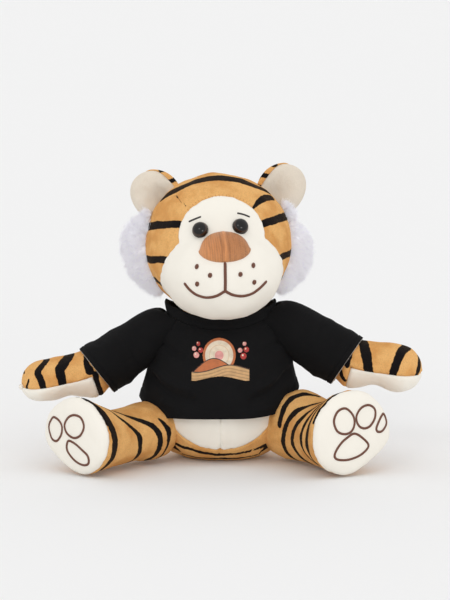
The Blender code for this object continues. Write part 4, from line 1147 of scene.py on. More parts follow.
def satin(name, tree, points, way, width, pitch, closed=False):
    """A raised line of satin stitch on a surface, whose threads run across it."""
    rough = through(points, 12 * len(points), closed)
    loop = np.vstack((rough, rough[:1])) if closed else rough
    steps = np.linalg.norm(np.diff(loop, axis=0), axis=1)
    length = steps.sum()
    count = max(int(length / pitch * 4), 8)
    reach = np.concatenate(([0], np.cumsum(steps)))
    at = np.linspace(0, reach[-1], count, endpoint=not closed)
    line = np.stack([np.interp(at, reach, loop[:, i]) for i in range(3)], axis=-1)
    spots, outs = laid_on(tree, line, way)
    for _ in range(6):
        near = np.roll(outs, 1, axis=0) + np.roll(outs, -1, axis=0) + outs
        if not closed:
            near[0], near[-1] = outs[0], outs[-1]
        outs = unit(near)
    ahead = np.roll(spots, -1, axis=0) - np.roll(spots, 1, axis=0)
    if not closed:
        ahead[0], ahead[-1] = spots[1] - spots[0], spots[-1] - spots[-2]
    aside = unit(np.cross(ahead, outs))
    t = np.linspace(0, 1, count)
    rounded = np.clip(np.minimum(t, 1 - t) * length / width * 2 + 0.25, 0, 1) ** 0.5
    size = np.ones(count) if closed else rounded
    ridge = 0.5 + 0.5 * np.cos(TURN * at / pitch)
    around = np.linspace(0, TURN, SATIN_SIDES, endpoint=False)[None]
    size, ridge = size[:, None], ridge[:, None]
    across = np.cos(around) * width / 2 * size * (0.95 + 0.05 * ridge)
    above = (np.sin(around) * 0.34 * width * (0.80 + 0.20 * ridge)) * size + 0.06 * width
    grid = spots[:, None] + aside[:, None] * across[..., None] + outs[:, None] * above[..., None]
    # Painted highlight on each stitch's crown and painted shade between stitches
    thread_tone_and_shade = np.repeat(ridge * 0.7 + 0.3, SATIN_SIDES, axis=1)
    if closed:
        grid, thread_tone_and_shade = np.vstack((grid, grid[:1])), np.vstack((thread_tone_and_shade, thread_tone_and_shade[:1]))
    else:
        grid, thread_tone_and_shade = capped(grid), np.vstack((thread_tone_and_shade[:1], thread_tone_and_shade, thread_tone_and_shade[-1:]))
    return mesh_from_grid(name, grid, fields={"thread_tone_and_shade": thread_tone_and_shade}, flip=True)


def joined(name, things):
    """Make one piece of several."""
    points, faces, fields, start = [], [], [], 0
    for thing in things:
        mesh = thing.data
        points += [tuple(vert.co) for vert in mesh.vertices]
        faces += [[start + i for i in face.vertices] for face in mesh.polygons]
        fields += [item.value for item in mesh.attributes["thread_tone_and_shade"].data]
        start += len(mesh.vertices)
        bpy.data.objects.remove(thing)
        bpy.data.meshes.remove(mesh)
    return mesh_object(name, np.array(points), faces, {"thread_tone_and_shade": np.array(fields)[:, None]})


# Head


def ellipsoid_reach(origin, ways, middle, radii):
    """How far an oval's surface lies from a point inside it, in each direction."""
    start = (origin - middle) / radii
    way = ways / radii
    a = (way * way).sum(-1)
    b = (start * way).sum(-1)
    c = (start * start).sum(-1) - 1
    return (-b + np.sqrt(b * b - a * c)) / a


def head_point(ways):
    """The head's surface in each direction from its heart."""
    reaches = [
        ellipsoid_reach(HEAD_HEART, ways, middle, radii)
        for middle, radii in ((HEAD_MIDDLE, HEAD_RADII), (MUZZLE_MIDDLE, MUZZLE_RADII))
    ]
    longest = np.maximum(*reaches)
    total = sum((reach / longest) ** MUZZLE_BLEND for reach in reaches)
    return HEAD_HEART + ways * (longest * total ** (1 / MUZZLE_BLEND))[..., None]


def head_front(x, z):
    """The front of the head at x and z, from its own frame's front."""
    inside, outside = np.full_like(x, HEAD_HEART[1]), np.full_like(x, -2 * HEAD_RADII[1])
    for _ in range(28):
        y = (inside + outside) / 2
        spot = stacked(x, y, z) - HEAD_HEART
        reach = np.linalg.norm(head_point(unit(spot)) - HEAD_HEART, axis=-1)
        within = np.linalg.norm(spot, axis=-1) < reach
        inside, outside = np.where(within, y, inside), np.where(within, outside, y)
    return stacked(x, y, z)


def face_outline(angles):
    """The cream area's outline, the forehead's oval joined to the muzzle's, and its middle."""
    heart = np.array((0.0, (FOREHEAD_RISE + MUZZLE_MIDDLE[2]) / 2))
    ways = stacked(np.cos(angles), np.sin(angles))
    forehead = (np.array((0, FOREHEAD_RISE)), np.array((FOREHEAD_WIDTH, FOREHEAD_HEIGHT)) / 2)
    muzzle = (MUZZLE_MIDDLE[::2], MUZZLE_RADII[::2] + MUZZLE_SEAM_EASE)
    reach = np.maximum(*(ellipsoid_reach(heart, ways, *oval) for oval in (forehead, muzzle)))
    outline = heart + ways * reach[:, None]
    front = head_front(outline[:, 0], outline[:, 1])
    front[:, 1] += CHIN_SEAM_BACK * eased((CHIN_SEAM_RISE - front[:, 2]) / CHIN_SEAM_RISE)
    return front, head_front(*(np.array((c,)) for c in heart))[0]


def between(first, last, t):
    """Directions turned evenly from one to another."""
    angle = np.arccos(np.clip((first * last).sum(-1, keepdims=True), -1, 1))
    return unit(np.sin((1 - t) * angle) * first + np.sin(t * angle) * last)


def seam_steps(count):
    """Even shares from 0 to 1, with a few more close to the seam at 0."""
    return np.sort(np.concatenate((np.linspace(0, 1, count), np.array((0.35, 0.68, 1.4)) / count)))


def fanned(first, seam, last, inner, outer):
    """Rows of directions from a middle out to a seam and on to the far side, and the seam's row."""
    rows = [between(first, seam, 1 - t) for t in seam_steps(inner)[::-1]]
    held = len(rows) - 1
    rows += [between(seam, last, t) for t in seam_steps(outer)[1:]]
    return np.array(rows), held


class Head:
    """The head's finished skin in its own frame, which other pieces are laid on."""

    columns = 208
    turn = Matrix.Rotation(HEAD_TURN, 3, "Z") @ Matrix.Rotation(-HEAD_ROLL, 3, "Y")

    def __init__(self):
        def spot(line):
            return head_point(unit(line * MM - HEAD_HEART))

        outline, middle = face_outline(np.linspace(0, TURN, self.columns, endpoint=False))
        first, seam = unit(middle - HEAD_HEART)[None], unit(outline - HEAD_HEART)
        ways, self.face_rows = fanned(first, seam, unit(np.array((0.0, 1.0, 0.08)))[None], 44, 84)
        grid = head_point(ways)
        self.stripe = stripe_field(grid, strokes_on(HEAD_STRIPES, spot))
        self.seam = head_point(seam)
        centre, dart = spot(through(CENTRE_SEAM, 240)), spot(through(FOREHEAD_DART, 60))
        grid = inflated(grid, [self.face_rows], flip=True)
        self.grid = stuffed(grid, [grid[self.face_rows], centre, dart], 11, flip=True)
        self.tree = grid_tree(self.grid)

    def world(self, grid):
        """Take points from the head's frame to the world."""
        return placed(grid, self.turn, NECK_PIVOT)

    def move(self, thing):
        """Take a piece made in the head's frame to the world."""
        thing.data.transform(Matrix.Translation(NECK_PIVOT) @ self.turn.to_4x4())
        return thing


def head():
    """The head's skin, made once."""
    if "head" not in STATE:
        STATE["head"] = Head()
    return STATE["head"]


def make_head():
    """Striped cover, cream face, and the wad of fibre and the band of plush in the neck."""
    skin = head()
    is_face = np.zeros((len(skin.grid) - 1, skin.columns), bool)
    is_face[: skin.face_rows] = True
    world = skin.world(skin.grid)
    nodes, fields = ("head_cover", "head_stuffing"), {"stripe": skin.stripe}
    sewn("head_plush", world, "striped_plush", "head", nodes, HEAD_FILL, ~is_face, fields, flip=True)
    sewn("face_plush", world, "cream_plush", "head", ("face_panel",), HEAD_FILL, is_face, flip=True)
    ways = ball(np.linspace(0, math.pi, 33)[:, None], 48)
    grid = ways * NECK_RADIUS * 0.96
    grid = grid + ways * (NECK_LUMP * lumps(grid, NECK_LUMP_SIZE, 5))[..., None]
    wad = mesh_from_grid("neck_wad", grid + np.array(NECK_PIVOT), flip=True)
    dressed(wad, finish_of("fibre"), "fibre_fill", "neck", "neck_stuffing")
    band = ball(math.pi / 2 - np.linspace(-0.55, 0.35, 14)[:, None], 64) * (NECK_RADIUS + NECK_SKIN)
    field = np.full(band.shape[:2], NO_STRIPE)
    neck = mesh_from_grid("neck_plush", band + np.array(NECK_PIVOT), fields={"stripe": field})
    dressed(thicken(neck, NECK_CLOTH), finish_of("striped_plush"), "orange_plush", "neck")


def make_embroidery():
    """Brows, mouth and whisker dots, stitched onto the face, and the stitches over its top seam."""
    face = settings("face")
    skin = head()
    crossing = []
    seam = skin.seam[:: skin.columns // 104, ::2]
    for x, z in seam[2:-2] / MM:
        if z > FACE_STITCH_RISE / MM:
            out = unit(np.array((x, z - FOREHEAD_RISE / MM))) * FACE_STITCH_HALF
            crossing.append(((x - out[0], z - out[1]), (x, z), (x + out[0], z + out[1])))
    dx, dz = WHISKER_DOT_HALF
    dots = [((x + dx, z + dz), (x, z), (x - dx, z - dz)) for x, z in DOTS]
    for name, shapes, width, thread in (
        ("mouth_stitching", MOUTH, face.mouth_width, "mouth_thread"),
        ("brow_stitching", BROWS, face.brow_width, "brow_thread"),
        ("seam_stitching", crossing, FACE_STITCH_WIDTH, "seam_thread"),
        ("whisker_stitching", dots, face.dot_width, "mouth_thread"),
    ):
        rows = []
        for i, points in enumerate(shapes):
            line = [(x * MM, 0, z * MM) for x, z in points]
            rows.append(satin(f"{name}_{i}", skin.tree, line, (0, 1, 0), width, face.stitch))
        dressed(skin.move(joined(name, rows)), finish_of(thread), "nose_thread", "head")


def make_nose():
    """Satin stitch over a pad: upright threads that fan out a little, and a ridge down the middle."""
    skin = head()
    columns, rows = 301, 40
    number = np.arange(columns)[None]
    u = np.linspace(-1, 1, columns)[None]
    v = np.linspace(0, 1, rows)[:, None]
    edge = np.sqrt(np.maximum(1 - np.abs(u) ** 2.1, 0))
    top = NOSE_RISE + NOSE_TOP * edge * (1 + 0.02 * np.cos(u * math.pi))
    bottom = NOSE_RISE - NOSE_BOTTOM * edge**0.95
    x, z = NOSE_WIDTH / 2 * u * (1.0 - 0.10 * v), bottom + (top - bottom) * v
    laid = laid_on(skin.tree, stacked(x, 0, z).reshape(-1, 3), (0, 1, 0))
    spots, outs = (part.reshape(rows, columns, 3) for part in laid)
    blend = unit(0.5 * outs + 0.5 * unit(outs.mean(axis=(0, 1))))
    dome = np.maximum(1 - np.abs(2 * v - 1) ** 2.4, 0) ** 0.55 * np.maximum(1 - np.abs(u) ** 3.2, 0) ** 0.6
    thread = 0.5 + 0.5 * np.cos(TURN * number / NOSE_THREAD_COLUMNS + 0.3 * lumps(spots, 0.004, 7))
    ridge, valley = hump(u, 0, 0.060), hump(np.abs(u), 0.14, 0.05)
    relief = NOSE_THREAD_LIFT * (thread - valley) + NOSE_RIDGE_LIFT * ridge
    height = (NOSE_LIFT + relief) * dome - NOSE_THREAD_LIFT
    streak = lumps(stacked(x, 0, z * 0.12), 0.0018, 9)
    bundle = np.cos(TURN * number / NOSE_BUNDLE_COLUMNS + 1.6 * lumps(stacked(x, 0, z * 0.3), 0.006, 8))
    # Painted light on the threads: lighter on their crowns and the ridge (painted highlight), darker in the
    # valleys (painted shade), and lighter towards -X, the side the key lamp lights; streak and bundle are the
    # threads' own uneven tone.
    thread_tone_and_shade = 0.46 + 0.40 * (thread - 0.5) + 0.42 * ridge - 0.26 * valley - 0.32 * u
    thread_tone_and_shade = np.clip(thread_tone_and_shade + 0.12 * streak + 0.18 * bundle * (0.7 - 0.4 * u), 0, 1)
    grid = spots + blend * height[..., None]
    front = thicken(mesh_from_grid("nose_stitching", grid, fields={"thread_tone_and_shade": thread_tone_and_shade}, wrap=False), NOSE_CLOTH)
    dressed(skin.move(front), finish_of("nose_stitch"), "nose_thread", "head", "nose")


def make_eyes():
    """Glossy domes with a darker middle, each square to the face at its place, and their washers."""
    face = settings("face")
    skin = head()
    finish = Finish("eye_gloss", 0.07, specular_ior_level=0.40)
    rim = finish.field("rim")
    centre = finish.mix(rim.step(0.74, 0.88), (0.001, 0.0008, 0.0008), face.iris)
    finish.colour(finish.mix(rim.step(0.90, 0.98), centre, darker(face.iris, 0.25)))
    arc = np.linspace(0, math.pi / 2, 15)
    dome = stacked(EYE_RADIUS * np.sin(arc), EYE_RIM + EYE_DOME * np.cos(arc))
    rims = [(EYE_RADIUS * 1.035, EYE_RIM * 0.75), (EYE_RADIUS * 1.045, 0.0), (EYE_RADIUS, -EYE_RIM)]
    shank = [(EYE_SHANK_RADIUS, -EYE_RIM), (EYE_SHANK_RADIUS, -EYE_SHANK_LENGTH), (0.0, -EYE_SHANK_LENGTH)]
    profile = np.vstack((dome, rims, shank))
    radius, height = profile[:, :1], profile[:, 1:]
    angle = np.linspace(0, TURN, 56, endpoint=False)[None]
    turned = stacked(radius * np.cos(angle), radius * np.sin(angle), height)
    fields = {"rim": np.repeat(np.clip(radius / EYE_RADIUS, 0, 1), angle.size, axis=1)}
    for side, sign in SIDES.items():
        x, z = sign * EYE_SPREAD - EYE_SHIFT[side], EYE_RISE + sign * EYE_UNEVEN
        step = EYE_RADIUS / 3
        spot, right, above = head_front(np.array((x, x + step, x)), np.array((z, z, z + step)))
        out = Vector(unit(np.cross(right - spot, above - spot)))
        if out.y > 0:
            out = -out
        world = skin.world(placed(turned, aimed(out), Vector(spot) + out * EYE_SEAT))
        eye = mesh_from_grid(f"eye_dome_{side}", world, fields=fields, flip=True)
        dressed(eye, finish.material, "eye_plastic", "head", f"eye_{side}")
        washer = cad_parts[f"eye_washer_{side}"]
        plain = Finish(f"washer_{side}", 0.4)
        plain.colour(plain.mix(plain.noise(WASHER_MOTTLE_SIZE), (0.74, 0.74, 0.72), (0.84, 0.84, 0.82)))
        washer.data.materials.clear()
        washer.data.materials.append(plain.material)


def make_ears():
    """Cupped ears: striped plush behind and round the rim, cream lining in the cup."""
    skin = head()
    half_width, half_height, half_depth = EAR_WIDTH / 2, EAR_HEIGHT / 2, EAR_THICKNESS / 2
    angle = np.linspace(0, TURN, 96, endpoint=False)[None]
    upper = np.maximum(np.sin(angle), 0)
    share = np.concatenate((np.linspace(0, 0.93, 24), (0.955, 0.975, 0.99, 1.0)))[:, None]
    strokes = []
    for low, high, half in EAR_STRIPES:
        t = np.linspace(-1, 1, 40)
        px, pz = t * half_width, low + (high - low) * (1 - t**2)
        py = half_depth * np.sqrt(np.maximum(1 - t**2 - (pz / half_height) ** 2, 0))
        at_rim = np.abs(t) > 0.8
        strokes += [(stacked(px, py, pz), np.full(40, half))]
        strokes += [(stacked(px, -py, pz)[at_rim], np.full(40, half)[at_rim])]
    for side, sign in SIDES.items():
        turn = Matrix.Rotation(sign * EAR_TURN, 3, "Z") @ Matrix.Rotation(sign * EAR_LEAN, 3, "Y")
        at = Vector((sign * EAR_SPREAD[side], EAR_BACK, EAR_RISE))
        inner = 0.5 - 0.5 * sign * np.cos(angle)
        split = 0.5 - 0.17 * inner**4 + 0.20 * (1 - inner) + 0.10 * upper * (1 - inner**3)

        def spot_field(x, z, middle, spread):
            return hump(x, -sign * middle[0], spread[0]) * hump(z, middle[1], spread[1])

        def ear_grid(t):
            rho = np.sin(math.pi * t)
            x = half_width * rho * np.cos(angle) * (1 - 0.13 * (1 - inner))
            z = half_height * rho * np.sin(angle) * 0.97
            hollow = EAR_HOLLOW * spot_field(x, z, EAR_HOLLOW_MIDDLE, EAR_HOLLOW_SPREAD)
            return stacked(x, -half_depth * np.cos(math.pi * t) + np.where(t < 0.5, hollow, 0), z)

        front, back = ear_grid(share * split), ear_grid(split + (1 - split) * (1 - share[::-1]))
        # How much painted shade the lining takes, deepest low in the cup
        cup = spot_field(front[..., 0], front[..., 2], EAR_CUP_SHADE_MIDDLE, EAR_CUP_SHADE_SPREAD)
        front[..., 1] += EAR_LUMP * lumps(front, 0.008, 21 + sign)
        back[..., 1] += EAR_LUMP * lumps(back, 0.010, 31 + sign)
        for name, grid, finish, node, fields in (
            ("ear_front", front, "ear_plush", "ear_lining", {"cup": cup}),
            ("ear_rear", back, "striped_plush", "ear_back", {"stripe": stripe_field(back, strokes)}),
        ):
            world = skin.world(placed(grid, turn, at))
            look = {"fields": fields, "flip": name == "ear_front", "cloth": PLUSH_CLOTH * 0.8}
            sewn(f"{name}_{side}", world, finish, "head", (f"{node}_{side}",), EAR_FILL, **look)


def strand_mesh(name, path, radius, aside, other):
    """Three-sided strands along paths of points, with how far along each point lies."""
    count, rings = path.shape[:2]
    corners = (np.arange(3) * TURN / 3)[:, None]
    ring = aside[:, None, None] * np.cos(corners) + other[:, None, None] * np.sin(corners)
    points = path[:, :, None] + ring * radius[:, None, None]
    index = np.arange(count * rings * 3).reshape(count, rings, 3)
    right = np.roll(index, -1, axis=2)
    quads = stacked(index[:, :-1], right[:, :-1], right[:, 1:], index[:, 1:]).reshape(-1, 4)
    faces = quads.tolist() + index[:, -1].tolist() + index[:, 0, ::-1].tolist()
    reach = np.tile(np.repeat(np.linspace(0, 1, rings), 3), count)[:, None]
    return mesh_object(name, points.reshape(-1, 3), faces, {"reach": reach})


def make_ruffs():
    """Long pile: tapered strands that spring from the cheek's seam and fall outwards and down."""
    fur = settings("fur")
    skin = head()
    # Emission here is a painted glow that stands in for light passing through the white pile; the ruff is no
    # lamp.
    painted_glow = {"emission_strength": 0.10, "emission_color": (*fur.colour, 1.0)}
    finish = Finish("long_pile", 0.8, specular_ior_level=0.2, **painted_glow)
    # Darker towards the strands' roots and on the pad beneath them: painted shade in the depth of the pile.
    shade = finish.mix(finish.field("reach").step(0.0, 0.6), darker(fur.colour, 0.84), fur.colour)
    finish.colour(finish.mix(finish.noise(FUR_CLUMP_SIZE).step(0.35, 0.6), darker(fur.colour, 0.90), shade))
    count = fur.strands
    t = np.linspace(0, 1, 6)[:, None]
    for side, sign in SIDES.items():
        mirror = np.array((sign, 1, 1))
        draw = np.random.default_rng(40 + sign)
        way = unit(draw.normal(size=(count, 3)) * np.array((1.0, 0.9, 1.0)))
        way[:, 0] = np.abs(way[:, 0]) * sign
        middle = (RUFF_MIDDLE + RUFF_SHIFT[side]) * mirror
        radii = RUFF_RADII * RUFF_SHRINK[side]

        def leaning(points):
            points[..., 0] += sign * RUFF_LEAN * (points[..., 2] - middle[2])
            return points

        tuft = (np.arange(count) % RUFF_TUFT_EVERY == 0)[:, None]
        tuft_roots = RUFF_TUFT_MIDDLE * mirror + way * RUFF_TUFT_RADII
        roots = np.where(tuft, tuft_roots, leaning(middle + way * radii))
        out = unit(way / radii)
        combed = np.where(tuft, (0.5 * sign, -0.3, 0.35), (sign, -0.1, -0.45))
        combed = combed + 0.5 * stacked(*(lumps(roots, 0.011, 50 + i) for i in range(3)))
        combed = unit(combed - out * (combed * out).sum(-1, keepdims=True))
        lean = unit(0.42 * out + 0.85 * combed + 0.16 * draw.normal(size=(count, 3)))
        length = fur.length * draw.uniform(0.72, 1.12, count)[:, None, None]
        curl = unit(draw.normal(size=(count, 3))) * draw.uniform(0.05, 0.20, count)[:, None]
        fall = (curl + np.array((0, 0, -0.10)))[:, None]
        path = roots[:, None] + (lean[:, None] * t + fall * t**2) * length
        aside = unit(np.cross(lean, np.array((0.3, 0.9, 0.2))))
        other = unit(np.cross(lean, aside))
        radius = fur.radius * (1 - 0.86 * t[:, 0] ** 1.3)
        ways = ball(np.linspace(0, math.pi, 29)[:, None], 48)
        pad = leaning(middle + ways * radii * 1.04)
        pad = pad + ways * (RUFF_BASE_LUMP * lumps(pad, 0.006, 61))[..., None]
        # The pad under the strands takes part of the roots' painted shade.
        fields = {"reach": np.full(pad.shape[:2], 0.35)}
        base = mesh_from_grid(f"ruff_base_{side}", skin.world(pad), fields=fields, flip=True)
        dressed(base, finish.material, "long_pile", "head")
        aside, other = (placed(part, skin.turn, (0, 0, 0)) for part in (aside, other))
        ruff = strand_mesh(f"ruff_strands_{side}", skin.world(path), radius, aside, other)
        dressed(ruff, finish.material, "long_pile", "head", f"cheek_ruff_{side}")


# Torso


def torso_profile(count):
    """The torso's rise, width and depth shares on a smooth profile from seat to neck."""
    return through(stacked(TORSO_RISE_SHARES, TORSO_WIDTH_SHARES, TORSO_DEPTH_SHARES)[1:], count)


def torso_surface_point(angle, rise, width, depth):
    """A point round the torso, from its shares."""
    return stacked(
        TORSO_WIDTH / 2 * width * np.sin(angle),
        -TORSO_LEAN * rise - TORSO_DEPTH / 2 * depth * np.cos(angle),
        (TORSO_HEIGHT + FLOOR_CUT) * rise - FLOOR_CUT,
    )


def torso_point(angle, rise):
    width = read_table(TORSO_RISE_SHARES, TORSO_WIDTH_SHARES, rise)
    depth = read_table(TORSO_RISE_SHARES, TORSO_DEPTH_SHARES, rise)
    return torso_surface_point(angle, rise, width, depth)


def torso_tree():
    """The torso's solid outline, for rays from its heart."""
    profile = torso_profile(60)
    profile[:, 0] = np.maximum(profile[:, 0], TORSO_LOWEST_SHARE)
    angle = np.linspace(0, TURN, 96, endpoint=False)[None]
    grid = torso_surface_point(angle, *(profile[:, i : i + 1] for i in range(3)))
    return grid_tree(capped(grid))


def cast(tree, origin, ways):
    """Where rays from a point inside meet a surface."""
    start = Vector(origin)
    spots = [tree.ray_cast(start, Vector(way))[0] for way in ways.reshape(-1, 3)]
    return np.array(spots).reshape(ways.shape)


def make_torso():
    """Striped cover and two cream belly panels with a centre seam."""
    columns = 160
    half = columns // 2
    tree = torso_tree()

    def spot(line):
        return cast(tree, TORSO_HEART, unit(line * MM - TORSO_HEART))

    angles = np.linspace(0, TURN, columns, endpoint=False)
    angles = angles - 0.36 * np.sin(2 * angles) + TURN / 4
    x, z = BELLY_WIDTH / 2 * np.cos(angles), BELLY_MIDDLE + BELLY_HEIGHT / 2 * np.sin(angles)
    spots, _ = laid_on(tree, stacked(x, 0, z), (0, 1, 0))
    middle, _ = laid_on(tree, [(0, 0, BELLY_MIDDLE)], (0, 1, 0))
    first, seam = unit(middle - TORSO_HEART), unit(spots - TORSO_HEART)
    ways, belly_rows = fanned(first, seam, np.array(((0.0, 1.0, 0.0),)), 34, 60)
    grid = cast(tree, TORSO_HEART, ways)
    field = stripe_field(grid, strokes_on(TORSO_STRIPES, spot))
    centre = np.vstack((grid[: belly_rows + 1, 0], grid[: belly_rows + 1, half]))
    grid = inflated(grid, [belly_rows], [0, half], flip=True)
    wavy = centre + np.array((BELLY_SEAM_WAVE, 0, 0)) * np.sin(centre[:, 2:] / BELLY_SEAM_WAVE / 3)
    grid = stuffed(grid, [grid[belly_rows], wavy], 71, flip=True)
    grid[..., 2] = np.maximum(grid[..., 2], 0.0)
    faces = np.zeros((len(grid) - 1, columns), int)
    faces[:belly_rows, :half] = 1
    faces[:belly_rows, half:] = 2
    nodes, fields = ("torso_cover", "torso_stuffing"), {"stripe": field}
    sewn("torso_plush", grid, "striped_plush", "torso", nodes, BODY_FILL, faces == 0, fields, flip=True)
    for code, side in ((1, "right"), (2, "left")):
        nodes = (f"belly_panel_{side}",)
        sewn(f"belly_plush_{side}", grid, "cream_plush", "torso", nodes, BODY_FILL, faces == code, flip=True)


# Arms


def arm_frame(side):
    """The way an arm points and its shoulder's pivot."""
    droop, sign = ARM_DROOP[side], SIDES[side]
    level = math.cos(droop)
    out = (sign * level * math.cos(ARM_FORWARD), -level * math.sin(ARM_FORWARD), -math.sin(droop))
    return aimed(out), Vector(SHOULDER[side])


def arm_profile(count):
    """Reach, width and height shares on a smooth profile from shoulder to fingertips."""
    return through(stacked(ARM_REACH_SHARES, ARM_WIDTH_SHARES, ARM_HEIGHT_SHARES), count)


def arm_point(share, angle, width, height, grown=0.0, slant=0.0, sink=0.0):
    """Points round the arm, or round a sleeve that is grown beyond it and sinks below its middle."""
    along, aside, turn = curve_frames(share * ARM_LENGTH, ARM_LENGTH, ARM_BEND, ARM_BEND_SHARES)
    centre = (along + sink * np.sin(turn), aside - sink * np.cos(turn), turn)
    return tube_point(centre, (0, 1), ARM_RADIUS * width + grown, ARM_RADIUS * height + grown, angle, slant)


def limb_root(radius, angles):
    """Rings of the ball at a limb's root."""
    rise = np.radians((24, 45, 66))[:, None]
    return radius * stacked(np.sin(rise) * np.cos(angles), np.sin(rise) * np.sin(angles), -np.cos(rise))


def sew_limb(limb, panel, side, world, is_panel, field):
    """A limb's striped cover over its stuffing, and its cream panel."""
    body, nodes = f"{limb}_{side}", (f"{limb}_cover_{side}", f"{limb}_{side}_stuffing")
    sewn(f"{limb}_plush_{side}", world, "striped_plush", body, nodes, BODY_FILL, ~is_panel, {"stripe": field})
    nodes = (f"{panel}_panel_{side}",)
    return sewn(f"{panel}_plush_{side}", world, "cream_plush", body, nodes, BODY_FILL, is_panel)


def make_arms():
    """Striped arms with a cream palm let into each hand's underside."""
    top, under = 46, 40
    near, far = PALM_SEAM_ANGLE, math.pi - PALM_SEAM_ANGLE
    above = np.linspace(near, far, top, endpoint=False)
    angles = np.concatenate((above, np.linspace(far, TURN + near, under, endpoint=False)))[None]
    upper, lower = np.maximum(np.sin(angles), 0), np.maximum(-np.sin(angles), 0)
    profile = arm_profile(112)
    share, width, height = (profile[:, i : i + 1] for i in range(3))
    root = limb_root(ARM_RADIUS, angles)
    start = len(root) + int(np.searchsorted(profile[:, 0], PALM_START_SHARE))
    along = np.concatenate((np.zeros(len(root)), profile[:, 0]))[:, None]

    def spot(line):
        wide, tall = (np.interp(line[:, 0], profile[:, 0], profile[:, i]) for i in (1, 2))
        return arm_point(line[:, 0], np.radians(line[:, 1]), wide, tall)

    for side, sign in SIDES.items():
        grid = np.vstack((root, arm_point(share, angles, width, height)))
        field = stripe_field(grid, strokes_on(ARM_STRIPES[side], spot, LIMB_STRIPE_POINTS))
        grid[..., 1] += read_table(ARM_LIFT_SHARES, ARM_LIFT[side], along) * upper
        grid[..., 1] -= read_table(ARM_DROP_SHARES, ARM_DROP[side], along) * lower
        edges = [grid[start:, 0], grid[start:, top], grid[start, top:]]
        still = np.repeat(along < SLEEVE_CUFF_SHARE + 0.03, angles.size, axis=1)
        grid = inflated(grid, [start], still=still)
        dent = WRIST_DENT * hump(along, 0.68, 0.085) * lower**1.3
        grid = grid - grid_normals(grid) * dent[..., None]
        grid = stuffed(grid, edges, 81 + sign)
        palm = np.zeros((len(grid) - 1, angles.size), bool)
        palm[start:, top:] = True
        sew_limb("arm", "palm", side, placed(grid, *arm_frame(side)), palm, field)


# Legs


def leg_frame(side):
    """The way a leg points and its hip's pivot."""
    sign, splay = SIDES[side], LEG_SPLAY[side]
    out = (sign * math.sin(splay) * LEG_LENGTH, -math.cos(splay) * LEG_LENGTH, LEG_RISE)
    return aimed(out), Vector(HIP[side])


def leg_point(side, reach, angle, half_width, half_height):
    """Points round the leg."""
    centre = curve_frames(reach, LEG_LENGTH, LEG_BEND[side], LEG_BEND_SHARES)
    return tube_point(centre, (-SIDES[side], 0), half_width, half_height, angle)


def leg_halves(share):
    """Half the leg's width and height at a share of its length."""
    flare = read_table(LEG_REACH_SHARES, LEG_FLARE_SHARES, np.clip(share, 0, 1))
    return tuple(LEG_RADIUS + (size / 2 - LEG_RADIUS) * flare for size in (FOOT_WIDTH, FOOT_HEIGHT))


def sole_rows(side, angles, count):
    """The sole's pillow, from its seam to its middle."""
    theta = np.linspace(0, math.pi / 2, count)[:, None]
    round_share = np.cos(theta) ** SOLE_ROUND_POWER
    round_share[-1] = 0
    deep = (1 - SOLE_SEAM_SHARE) * LEG_LENGTH + SOLE_DOME
    reach = SOLE_SEAM_SHARE * LEG_LENGTH + deep * np.sin(theta) ** SOLE_ROUND_POWER
    swell = round_share * (1 + 0.025 * np.sin(2 * theta))
    return leg_point(side, reach, angles, *(half * swell for half in leg_halves(SOLE_SEAM_SHARE)))


def make_legs():
    """Striped legs with cream soles, and pads outlined in satin stitch."""
    angles = np.linspace(0, TURN, 120, endpoint=False)[None]
    upper, lower = np.maximum(np.sin(angles), 0), np.maximum(-np.sin(angles), 0)
    shares = np.concatenate((np.linspace(0, 0.9, 52), np.linspace(0.915, SOLE_SEAM_SHARE, 4)))[:, None]
    root = limb_root(LEG_RADIUS, angles)
    seam_row = len(root) + len(shares) - 1
    along = np.concatenate((np.zeros(len(root)), shares[:, 0], np.ones(33)))[:, None]
    rim = np.concatenate((np.ones(seam_row), np.cos(np.linspace(0, math.pi / 2, 34))))[:, None]
    for side, sign in SIDES.items():

        def spot(line):
            return leg_point(side, line[:, 0] * LEG_LENGTH, np.radians(line[:, 1]), *leg_halves(line[:, 0]))

        wall = leg_point(side, shares * LEG_LENGTH, angles, *leg_halves(shares))
        grid = np.vstack((root, wall, sole_rows(side, angles, 34)[1:]))
        field = stripe_field(grid, strokes_on(LEG_STRIPES[side], spot, LIMB_STRIPE_POINTS))
        outward = eased((sign * np.cos(angles) + 0.45) / 1.45)
        lift = read_table(LEG_LIFT_SHARES, LEG_LIFT[side], along) * upper
        lift = lift + LEG_HEEL_LIFT * eased((along - 0.40) / 0.50) * outward * lower
        grid[..., 1] += lift * rim**1.5
        still = np.zeros(grid.shape[:2], bool)
        still[: len(root) + 12] = True
        grid = inflated(grid, [seam_row], still=still)
        grid = stuffed(grid, [grid[seam_row]], 91 + sign)
        turn, at = leg_frame(side)
        world = placed(grid, turn, at)
        world[..., 2] = np.maximum(world[..., 2], 0.0)
        is_sole = np.zeros((len(grid) - 1, angles.size), bool)
        is_sole[seam_row:] = True
        make_pads(side, mesh_tree(sew_limb("leg", "sole", side, world, is_sole, field)), turn, at)


def make_pads(side, tree, turn, at):
    """Three toe rings and a heel pad, laid on the sole along its own axis."""
    face, sign = settings("face"), SIDES[side]
    frames = curve_frames(np.array(LEG_LENGTH), LEG_LENGTH, LEG_BEND[side], LEG_BEND_SHARES)
    along, aside, tilt = (float(part) for part in frames)
    bend = Matrix.Rotation(-sign * tilt, 3, "Y")
    middle = Vector((-sign * aside, 0, along))
    way = turn @ (bend @ Vector((0, 0, -1)))
    rings = []
    for i, points in enumerate(PADS[side]):
        line = [at + turn @ (middle + bend @ Vector((x * MM, y * MM, PAD_START))) for x, y in points]
        rings.append(satin(f"pad_{i}", tree, line, way, face.pad_width, face.stitch, closed=True))
    dressed(joined(f"pad_stitching_{side}", rings), finish_of("mouth_thread"), "nose_thread", f"leg_{side}")


# Tail


